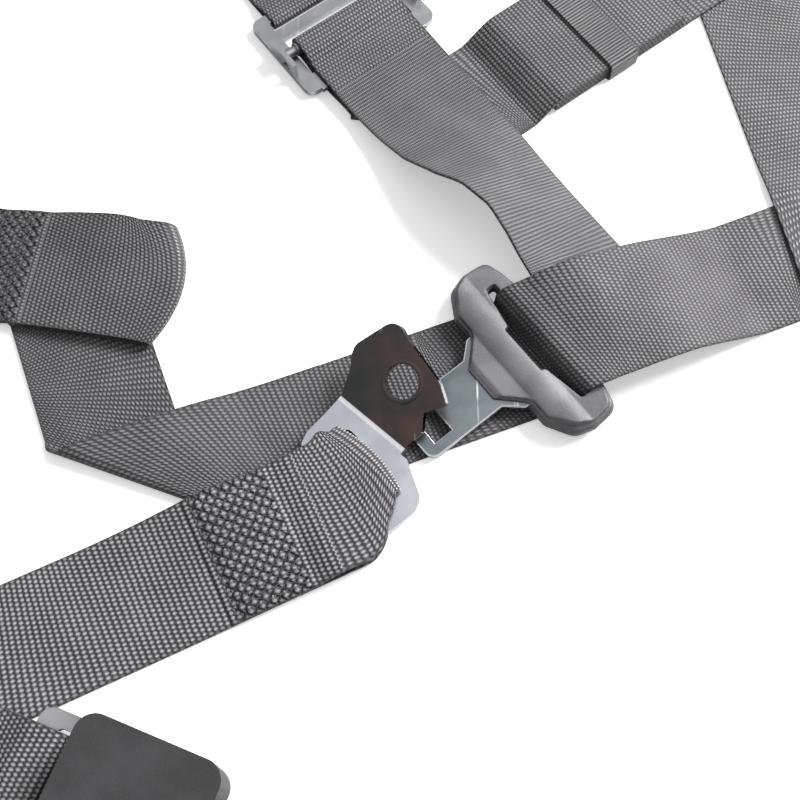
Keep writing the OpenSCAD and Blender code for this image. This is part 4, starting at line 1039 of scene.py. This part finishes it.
# ---------- buckle strap ----------
LAP_B_LEAN = [(0, LAP_B_Z, LAP_B_Z), (SQUARE_CUT, LAP_B_Z, LAP_B_Z), (5, 2.2, 2.9), (12, 2.1, 4),
              (23, 1.9, 5.4), (35.5, 1.5, 6.2), (45, 1.1, 5), (58, 0.7, 2.6), (72, 0.6, 1.1), (82, 0.6, 0.6),
              (84, 0.6, 0.6)]
BUCKLE_PATH = [(-40, Z_TWO), (-31, Z_TWO), (-24, Z_TWO + 0.3), (-17, 5.2), (-12, 7.6), (-4.5, 7.7), (-1, 6.6),
               (0.3, 4), (1.5, 1.8), (3.5, 0.8), (8, 0.6), (60, 0.6)]


def corner_b_stations():
    made = [level(along(LAP_B_END, HEAD_LAP_B, 84), HEAD_LAP_B, Z_LOW, 1)]
    made += fold(CORNER_B, HEAD_LAP_B, HEAD_BUCKLE, (Z_LOW, Z_LOW), (Z_TWO, Z_TWO), 1)
    made += runs(BUCKLE_AT, HEAD_BUCKLE, -1, (-40, Z_TWO))
    return made


def buckle_folds_stations():
    q = along(BUCKLE_AT, HEAD_BUCKLE, B_NEAR)
    top = Z_STACK + (LAYERS - 1) * Z_STEP
    n = BUCKLE_STACK_LEN
    made = runs(q, HEAD_BUCKLE, -1, (-6, Z_LOW), (4, Z_STACK))
    made += pleats(q, HEAD_BUCKLE, n, LAYERS, Z_STACK, -1)
    made += runs(q, HEAD_BUCKLE, -1, (n - 4, top), (n + 5, top * 0.62), (n + 13, Z_LOW))
    made += runs(BUCKLE_AT, HEAD_BUCKLE, -1, (B_END, Z_LOW))
    return made


def hem(name, p, a, side, z, look="webbing"):
    """The tail's end, turned over and sewn with two zigzag rows."""
    rows = runs(p, a, side, (22, z), (0, z))
    ride(lay(name, rows, look))
    stitch(name, ruling_of(rows), 3, 9)


class HARNESS_OT_buckle_strap(HarnessOperator, bpy.types.Operator):
    """Lay the strap that carries the buckle"""

    bl_idname = "harness.buckle_strap"
    bl_label = "Lay buckle strap"

    def build(self, scene):
        look = "webbing_coarse"
        plate_loop("webbing_buckle_loop", "buckle_strap_loop", LAP_B_END,
                   HEAD_LAP_B - 180, LAP_B_Z, look)
        rows = [flat(along(LAP_B_END, HEAD_LAP_B, d), HEAD_LAP_B, low, high, 1)
                for d, low, high in LAP_B_LEAN]
        run = ride(lay("webbing_buckle_lap", rows, look), "buckle_strap_lap")["run_end"]
        sew_down("webbing_buckle_lap_end", sewn_top(LAP_B_END, HEAD_LAP_B, LAP_B_LEAN, LAP_B_SEWN), QUILT_B,
                 look + "_sewn")
        run = ride(lay("webbing_buckle_corner", corner_b_stations(), look, run=run),
                   "buckle_strap_corner")["run_end"]
        rows = [level(along(BUCKLE_AT, HEAD_BUCKLE, d), HEAD_BUCKLE, z, -1) for d, z in BUCKLE_PATH]
        run = ride(lay("webbing_buckle_belt", rows, look, run=run, spacing=1.4),
                   "buckle_strap_belt")["run_end"]
        run = ride(lay("webbing_buckle_folds", buckle_folds_stations(), look, run=run),
                   "buckle_strap_folds")["run_end"]
        rows = [level(along(BUCKLE_AT, HEAD_BUCKLE, B_END), HEAD_BUCKLE, Z_LOW, -1),
                level(along(ADJ_B, HEAD_BUCKLE, ADJ_IN), HEAD_BUCKLE, Z_LOW, -1)]
        run = ride(lay("webbing_buckle_shoulder", rows, look, run=run), "buckle_strap_shoulder")["run_end"]
        wrapped = lay("webbing_buckle_wrap", wrap_stations(ADJ_B, HEAD_BUCKLE, -1), look, run=run)
        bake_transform(wrapped)
        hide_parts("buckle_strap_tail")
        back = HEAD_BUCKLE + 180
        end = ADJ_FRONT - TAIL_LEN
        steps = [(ADJ_OUT, Z_OUT), (ADJ_FRONT - 14, Z_TWO + 1), (ADJ_FRONT - 24, Z_TWO),
                 (end, Z_TWO)]
        rows = [level(along(ADJ_B, HEAD_BUCKLE, d), back, z, 1) for d, z in steps]
        ride(lay("webbing_buckle_tail", rows, look, run=wrapped["run_end"]), "buckle_strap_tail")
        hem("webbing_buckle_tail_hem", along(ADJ_B, HEAD_BUCKLE, end), HEAD_BUCKLE, -1, Z_TWO + TOUCHING,
            look)


# ---------- rear straps ----------
def rear_end_stations(p, a):
    top, bottom = REAR_Z + REAR_R, REAR_Z - REAR_R
    sewn = Z_LOW + TOUCHING
    out = REAR_FROM + REAR_BAR
    back = a + 180
    made = [level(along(p, a, d), back, z, -1)
            for d, z in ((REAR_FAR, sewn), (out + 13, sewn), (out + 8, sewn + 0.8), (out + 2, top - 0.3))]
    made += turn(along(p, a, REAR_FROM), back, top, bottom, -1)
    made += runs(p, a, 1, (out, bottom), (out + 6, Z_LOW), (REAR_FAR + 4, Z_LOW))
    return made


def rear_strap(tag, p, a, b):
    """One rear strap: its sewn end on the adjuster, its corner, its folded spare and its sewn loop."""
    node = "rear_strap_" + tag
    name = "webbing_rear_" + tag
    end = ride(lay(name + "_end", rear_end_stations(p, a)), node + "_end")
    out = REAR_FROM + REAR_BAR
    patch = runs(p, a, 1, (out + 15, Z_LOW + TOUCHING), (out + 31, Z_LOW + TOUCHING))

    def at_distance(d):
        return patch[0][0].lerp(patch[1][0], d / 16), patch[0][1].lerp(patch[1][1], d / 16)

    stitch(name, at_distance, 1, 13)
    q = along(p, a, REAR_TURN)
    rows = runs(p, a, 1, (REAR_FAR + 4, Z_LOW))
    rows += fold(q, a, b, (Z_LOW, Z_LOW), (Z_TWO, Z_TWO), 1)
    rows += runs(q, b, -1, (REAR_NEAR, Z_TWO))
    run = ride(lay(name + "_corner", rows, run=end["run_end"]), node)["run_end"]
    q = along(q, b, REAR_NEAR)
    top = Z_STACK + (LAYERS - 1) * Z_STEP
    e = REAR_RUN - REAR_NEAR
    n = REAR_STACK_LEN
    rows = runs(q, b, -1, (0, Z_TWO), (8, Z_STACK))
    rows += pleats(along(q, b, 6), b, n, LAYERS, Z_STACK, -1)
    rows += runs(q, b, -1, (n, top), (n + 8, top * 0.62), (n + 15, Z_LOW), (e, Z_LOW))
    ride(lay(name + "_folds", rows, run=run), node + "_folds")
    last = along(q, b, e)
    flat_run = ((0, Z_LOW, Z_LOW), (REAR_RUN, Z_LOW, Z_LOW))
    sew_down(name + "_loop_end", sewn_top(last, b + 180, flat_run, SEWN_LEN))
    plate_loop(name + "_loop", node + "_loop", last, b, Z_LOW)


class HARNESS_OT_rear_straps(HarnessOperator, bpy.types.Operator):
    """Lay the two rear straps"""

    bl_idname = "harness.rear_straps"
    bl_label = "Lay rear straps"

    def build(self, scene):
        rear_strap("a", ADJ_A, HEAD_TAIL, HEAD_REAR_A)
        rear_strap("b", ADJ_B, HEAD_BUCKLE, HEAD_REAR_B)


# ---------- keepers ----------
KEEPER_CORNER = 1.6
KEEPER_ROOM = 1.6
KEEPER_LIFT = 0.05


def keeper(name, node, p, a, length):
    """An elastic band round the folded spare webbing, closed by a lap under it."""
    high = LAYERS * WEB_T + (LAYERS - 1) * LAYER_GAP + 2 * LAYER_GAP
    middle = along(p, a, length / 2)
    half = (WEB_W + KEEPER_ROOM) / 2 + KEEPER_T / 2
    low, top = KEEPER_LIFT + KEEPER_T / 2, KEEPER_LIFT + 1.5 * KEEPER_T + high
    r = KEEPER_CORNER
    ring = [(0, low)]
    for cx, cz, start in ((half - r, low + r, -90), (half - r, top - r, 0), (r - half, top - r, 90),
                          (r - half, low + r, 180)):
        ring += [(cx + r * cosd(start + 15 * k), cz + r * sind(start + 15 * k)) for k in range(7)]
    ring.append((-0.01, low))
    rows = []
    for y, z in ring:
        ends = [at(middle, a, s * KEEPER_W / 2, y) for s in (-1, 1)]
        rows.append((Vector((*ends[0], z)), Vector((*ends[1], z))))
    ride(lay(name, rows, "elastic", thick=KEEPER_T, width=KEEPER_W, columns=6, edge=0.2), node)


class HARNESS_OT_keepers(HarnessOperator, bpy.types.Operator):
    """Put the elastic keepers round the folded webbing"""

    bl_idname = "harness.keepers"
    bl_label = "Fit keepers"

    def build(self, scene):
        keeper("keeper_band_tongue", "keeper_tongue_strap", along(TURN_E, HEAD_IN, FOLD_NEAR + 6), HEAD_IN,
               TONGUE_STACK_LEN)
        keeper("keeper_band_buckle", "keeper_buckle_strap", along(BUCKLE_AT, HEAD_BUCKLE, B_NEAR),
               HEAD_BUCKLE, BUCKLE_STACK_LEN)
        for tag, p, a, b in (("a", ADJ_A, HEAD_TAIL, HEAD_REAR_A), ("b", ADJ_B, HEAD_BUCKLE, HEAD_REAR_B)):
            q = along(along(p, a, REAR_TURN), b, REAR_NEAR + 6)
            keeper("keeper_band_rear_" + tag, "keeper_rear_strap_" + tag, q, b, REAR_STACK_LEN)


# ---------- fittings ----------
def merged_copy(node):
    """A frame node's mesh with its doubles merged and its flat faces joined."""
    bm = bmesh.new()
    bm.from_mesh(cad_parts[node].data)
    bmesh.ops.remove_doubles(bm, verts=bm.verts, dist=1e-6)
    bmesh.ops.dissolve_limit(bm, angle_limit=math.radians(1.5), verts=bm.verts, edges=bm.edges)
    return bm


def finish_node(name, node, look, slot, body, width, segments=2, bm=None, rim=None):
    """A merged copy of a frame node with rounded edges, which stands for it; rim gives the rounded edges a
    painted highlight.
    """
    obj = new_piece(name, bm or merged_copy(node), look)
    obj.data.set_sharp_from_angle(angle=math.radians(35))
    soften_edges(obj, width, segments, 35)
    # The bevel's faces take the rim finish, a painted highlight.
    if rim:
        obj.data.materials.append(FINISHES[rim])
        obj.modifiers["edge"].material = 1
    return ride(obj, node, body)


def plate_matrix(p, h, low):
    base, a = bar_frame(p, h)
    return Matrix.Translation(point(base, low + LOOP_R)) @ Matrix.Rotation(math.radians(a), 4, "Z")


# the bend of an anchor plate: how far its rounding reaches, how near its line an edge lies that is rounded,
# and how long such an edge is at least
BEND_ROUND = 1.1
BEND_NEAR = 1.2
BEND_LEAST = 20


def anchor_plate(name, node, body, p, h, low, edge):
    """The bent plate with its bend radius and a painted highlight along the bend, its polished bolt flap with
    a painted dark reflection, and the coined ring round its hole.
    """
    crease = plate_matrix(p, h, low) @ Matrix.Translation(point(CREASE, 0)) @ Matrix.Rotation(
        math.radians(CREASE_TURN), 4, "Z")
    back = crease.inverted()
    bm = merged_copy(node)
    bend = []
    for line in bm.edges:
        a, b = (back @ v.co for v in line.verts)
        if max(abs(a.y), abs(b.y)) < BEND_NEAR * MM and abs(a.x - b.x) > BEND_LEAST * MM:
            bend.append(line)
    bmesh.ops.bevel(bm, geom=bend, offset=BEND_ROUND * MM, segments=5, profile=0.5, affect="EDGES")
    obj = finish_node(name, node, "plate", "plate", body, edge, bm=bm, rim="rim")
    obj.data.materials.append(FINISHES["plate_polished"])
    for face in obj.data.polygons:
        place = back @ face.center
        # Faces past the bend, on the bolt flap, take the polished finish with its painted dark reflection.
        if place.y > BEND_NEAR * MM:
            face.material_index = 2
        # Painted highlight: the upward faces of the bend's rounding take the rim finish.
        elif abs(place.y) < BEND_ROUND * MM and place.z > 0 and face.normal.z > 0.7:
            face.material_index = 1
    flap = crease @ Matrix.Rotation(math.radians(FLAP_RISE), 4, "X")
    bm = bmesh.new()
    profile = [(BOLT_R + 0.1, 0.0), (BOLT_R + 0.5, 0.08), (BOLT_R + 1.0, 0.1), (BOLT_R + 1.6, 0.0)]
    verts = [bm.verts.new((r * MM, 0, (PLATE_T / 2 + z) * MM)) for r, z in profile]
    edges = [bm.edges.new(pair) for pair in zip(verts, verts[1:])]
    bmesh.ops.spin(bm, geom=verts + edges, cent=(0, 0, 0), axis=(0, 0, 1), angle=math.tau, steps=64,
                   use_merge=True)
    bmesh.ops.remove_doubles(bm, verts=bm.verts, dist=1e-7)
    bmesh.ops.recalc_face_normals(bm, faces=bm.faces)
    bm.transform(flap @ Matrix.Translation(point(HOLE_AT, 0)))
    return ride(new_piece(name + "_coined_ring", bm, "plate_polished"), body=body)


PLATES = [
    ("anchor_plate_buckle_side", "lap_plate_buckle_side", "lap_buckle_side_anchor",
     LAP_B_END, HEAD_LAP_B - 180, LAP_B_Z),
    ("anchor_plate_tongue_side", "lap_plate_tongue_side", "lap_tongue_side_anchor",
     LAP_T_END, HEAD_LAP_T + 180, Z_LOW),
    ("anchor_plate_rear_a", "rear_plate_a", "rear_a_anchor",
     along(along(ADJ_A, HEAD_TAIL, REAR_TURN), HEAD_REAR_A, REAR_RUN), HEAD_REAR_A, Z_LOW),
    ("anchor_plate_rear_b", "rear_plate_b", "rear_b_anchor",
     along(along(ADJ_B, HEAD_BUCKLE, REAR_TURN), HEAD_REAR_B, REAR_RUN), HEAD_REAR_B, Z_LOW),
]


class HARNESS_OT_anchor_plates(HarnessOperator, bpy.types.Operator):
    """Finish the four bent anchor plates"""

    bl_idname = "harness.anchor_plates"
    bl_label = "Finish anchor plates"

    def build(self, scene):
        edge = scene.harness_fittings.edge / MM
        for row in PLATES:
            anchor_plate(*row, edge)


COVER_VOXEL = 0.36


class HARNESS_OT_tongue(HarnessOperator, bpy.types.Operator):
    """Finish the latch tongue and its moulded cover"""

    bl_idname = "harness.tongue"
    bl_label = "Finish tongue"

    def build(self, scene):
        # The blade's bevelled edges get the painted highlight of the rim finish.
        finish_node("tongue_steel", "tongue_blade", "blade", "blade", "tongue", 0.5, 3, rim="rim")
        bm = merged_copy("tongue_cover")
        bmesh.ops.triangulate(bm, faces=bm.faces)
        cover = new_piece("tongue_moulded_cover", bm, "cover")
        voxels = cover.modifiers.new("even", "REMESH")
        voxels.mode = "VOXEL"
        voxels.voxel_size = COVER_VOXEL * MM
        voxels.use_smooth_shade = True
        smooth = cover.modifiers.new("soft", "SMOOTH")
        smooth.iterations = 5
        smooth.factor = 0.5
        ride(cover, "tongue_cover", "tongue")


SHELLS = [("buckle_shell_base", "buckle_cover_base", "shell", "shell", "webbing", 0.9, 3),
          ("buckle_shell_top", "buckle_cover_top", "shell", "shell", "webbing", 1.1, 3),
          ("buckle_release_button", "buckle_button", "button", "button", "button", 0.6, 3),
          ("buckle_steel_frame", "buckle_frame", "inner_steel", "inner_steel", "webbing", 0.3, 2),
          ("buckle_latch_arm", "buckle_latch", "inner_steel", "inner_steel", "latch", 0.25, 2),
          ("buckle_pin", "buckle_latch_pin", "inner_steel", "inner_steel", "webbing", 0.25, 2),
          ("buckle_ejector_slide", "buckle_ejector", "ejector", "ejector", "ejector", 0.3, 2)]


SPRINGS = [("buckle_springs", "buckle_button_springs", "button"),
           ("buckle_spring_latch", "buckle_latch_spring", "latch"),
           ("buckle_spring_ejector", "buckle_ejector_spring", "ejector")]


class HARNESS_OT_buckle(HarnessOperator, bpy.types.Operator):
    """Finish the push-button buckle"""

    bl_idname = "harness.buckle"
    bl_label = "Finish buckle"

    def build(self, scene):
        for row in SHELLS:
            finish_node(*row)
        for name, node, body in SPRINGS:
            bm = bmesh.new()
            bm.from_mesh(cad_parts[node].data)
            bmesh.ops.remove_doubles(bm, verts=bm.verts, dist=1e-6)
            spring = new_piece(name, bm, "spring")
            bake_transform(spring)
            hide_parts(node)


class HARNESS_OT_adjusters(HarnessOperator, bpy.types.Operator):
    """Finish the two slide-bar adjusters"""

    bl_idname = "harness.adjusters"
    bl_label = "Finish adjusters"

    def build(self, scene):
        for tag in ("a", "b"):
            finish_node("adjuster_plate_" + tag, f"adjuster_{tag}_frame", "adjuster", "adjuster", "webbing",
                        0.35)
            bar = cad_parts[f"adjuster_{tag}_bar"]
            bar.data.materials.clear()
            bar.data.materials.append(FINISHES["inner_steel"])


# ---------- stage ----------
def make_floor():
    b, shader = new_material("table_top")
    b.wire(shader, Base_Color=(0.86, 0.87, 0.86, 1), Roughness=0.75, Specular_IOR_Level=0.2)
    camera_ray = b.put("ShaderNodeLightPath").outputs["Is Camera Ray"]
    glow = b.put("ShaderNodeEmission", {"Color": (1, 1, 1, 1),
                                        "Strength": b.math("MULTIPLY", camera_ray, 0.42)})
    both = b.put("ShaderNodeAddShader", {0: shader.outputs[0], 1: glow.outputs[0]})
    output = b.tree.nodes["Material Output"]
    b.wire(output, Surface=both.outputs[0])
    bm = bmesh.new()
    bmesh.ops.create_grid(bm, x_segments=1, y_segments=1, size=3)
    mesh = bpy.data.meshes.new("table")
    bm.to_mesh(mesh)
    bm.free()
    table = bpy.data.objects.new("table", mesh)
    bpy.context.scene.collection.objects.link(table)
    mesh.materials.append(FINISHES["table_top"])


def make_world(scene):
    """White to the camera; for reflections and light, brighter behind and above, darker in front."""
    world = bpy.data.worlds.new("studio")
    scene.world = world
    world.use_nodes = True
    b = Board(world.node_tree)
    direction = b.coords("Generated")
    towards = b.put("ShaderNodeVectorMath", {0: direction, 1: (0.35, 0.45, 0.82)}, operation="DOT_PRODUCT")
    level_of = b.ramp(towards.outputs["Value"], 0.0, 0.95, 0.05, 0.75)
    rays = b.put("ShaderNodeLightPath").outputs
    shown = b.tint(rays["Is Camera Ray"], b.tint(level_of, (0, 0, 0, 1), (1, 1, 1, 1)), (1, 1, 1, 1))
    b.wire(world.node_tree.nodes["Background"], Color=shown, Strength=1.0)


def area_light(name, place, size, power):
    data = bpy.data.lights.new(name, "AREA")
    data.size = size
    data.energy = power
    lamp = bpy.data.objects.new(name, data)
    lamp.location = place
    lamp.rotation_euler = (-Vector(place)).to_track_quat("-Z", "Y").to_euler()
    bpy.context.scene.collection.objects.link(lamp)


class HARNESS_OT_stage(HarnessOperator, bpy.types.Operator):
    """Set the table, the lights and the camera"""

    bl_idname = "harness.stage"
    bl_label = "Set stage"

    def build(self, scene):
        stage = scene.harness_stage
        make_floor()
        make_world(scene)
        area_light("key", (0.85, 0.6, 0.8), 0.6, stage.key)
        area_light("fill", (-0.7, -0.2, 0.9), 1.0, stage.fill)
        data = bpy.data.cameras.new("camera")
        data.lens = stage.lens
        data.sensor_width = 36
        camera = bpy.data.objects.new("camera", data)
        reach = stage.distance
        camera.location = (0, -reach * math.cos(stage.elevation), reach * math.sin(stage.elevation))
        camera.rotation_euler = (math.pi / 2 - stage.elevation, 0, 0)
        scene.collection.objects.link(camera)
        scene.camera = camera
        scene.view_settings.view_transform = "Standard"


STEPS = (HARNESS_OT_finishes, HARNESS_OT_tongue_strap, HARNESS_OT_buckle_strap, HARNESS_OT_rear_straps,
         HARNESS_OT_keepers, HARNESS_OT_anchor_plates, HARNESS_OT_tongue, HARNESS_OT_buckle,
         HARNESS_OT_adjusters, HARNESS_OT_stage)
SETTINGS = (("harness_webbing", HarnessWebbing), ("harness_fittings", HarnessFittings),
            ("harness_stage", HarnessStage))


class HARNESS_PT_panel(bpy.types.Panel):
    """The harness's steps and settings"""

    bl_idname = "HARNESS_PT_panel"
    bl_label = "Racing harness"
    bl_space_type = "VIEW_3D"
    bl_region_type = "UI"
    bl_category = "Harness"

    def draw(self, context):
        for step in STEPS:
            self.layout.operator(step.bl_idname)
        for key, group in SETTINGS:
            box = self.layout.box()
            for name in group.__annotations__:
                box.prop(getattr(context.scene, key), name)


def register():
    for key, group in SETTINGS:
        bpy.utils.register_class(group)
        setattr(bpy.types.Scene, key, PointerProperty(type=group))
    for step in STEPS:
        bpy.utils.register_class(step)
    bpy.utils.register_class(HARNESS_PT_panel)


def unregister():
    bpy.utils.unregister_class(HARNESS_PT_panel)
    for step in reversed(STEPS):
        bpy.utils.unregister_class(step)
    for key, group in reversed(SETTINGS):
        delattr(bpy.types.Scene, key)
        bpy.utils.unregister_class(group)


def main():
    register()
    bpy.ops.harness.finishes()
    bpy.ops.harness.tongue_strap()
    bpy.ops.harness.buckle_strap()
    bpy.ops.harness.rear_straps()
    bpy.ops.harness.keepers()
    bpy.ops.harness.anchor_plates()
    bpy.ops.harness.tongue()
    bpy.ops.harness.buckle()
    bpy.ops.harness.adjusters()
    bpy.ops.harness.stage()


if __name__ == "__main__":
    main()
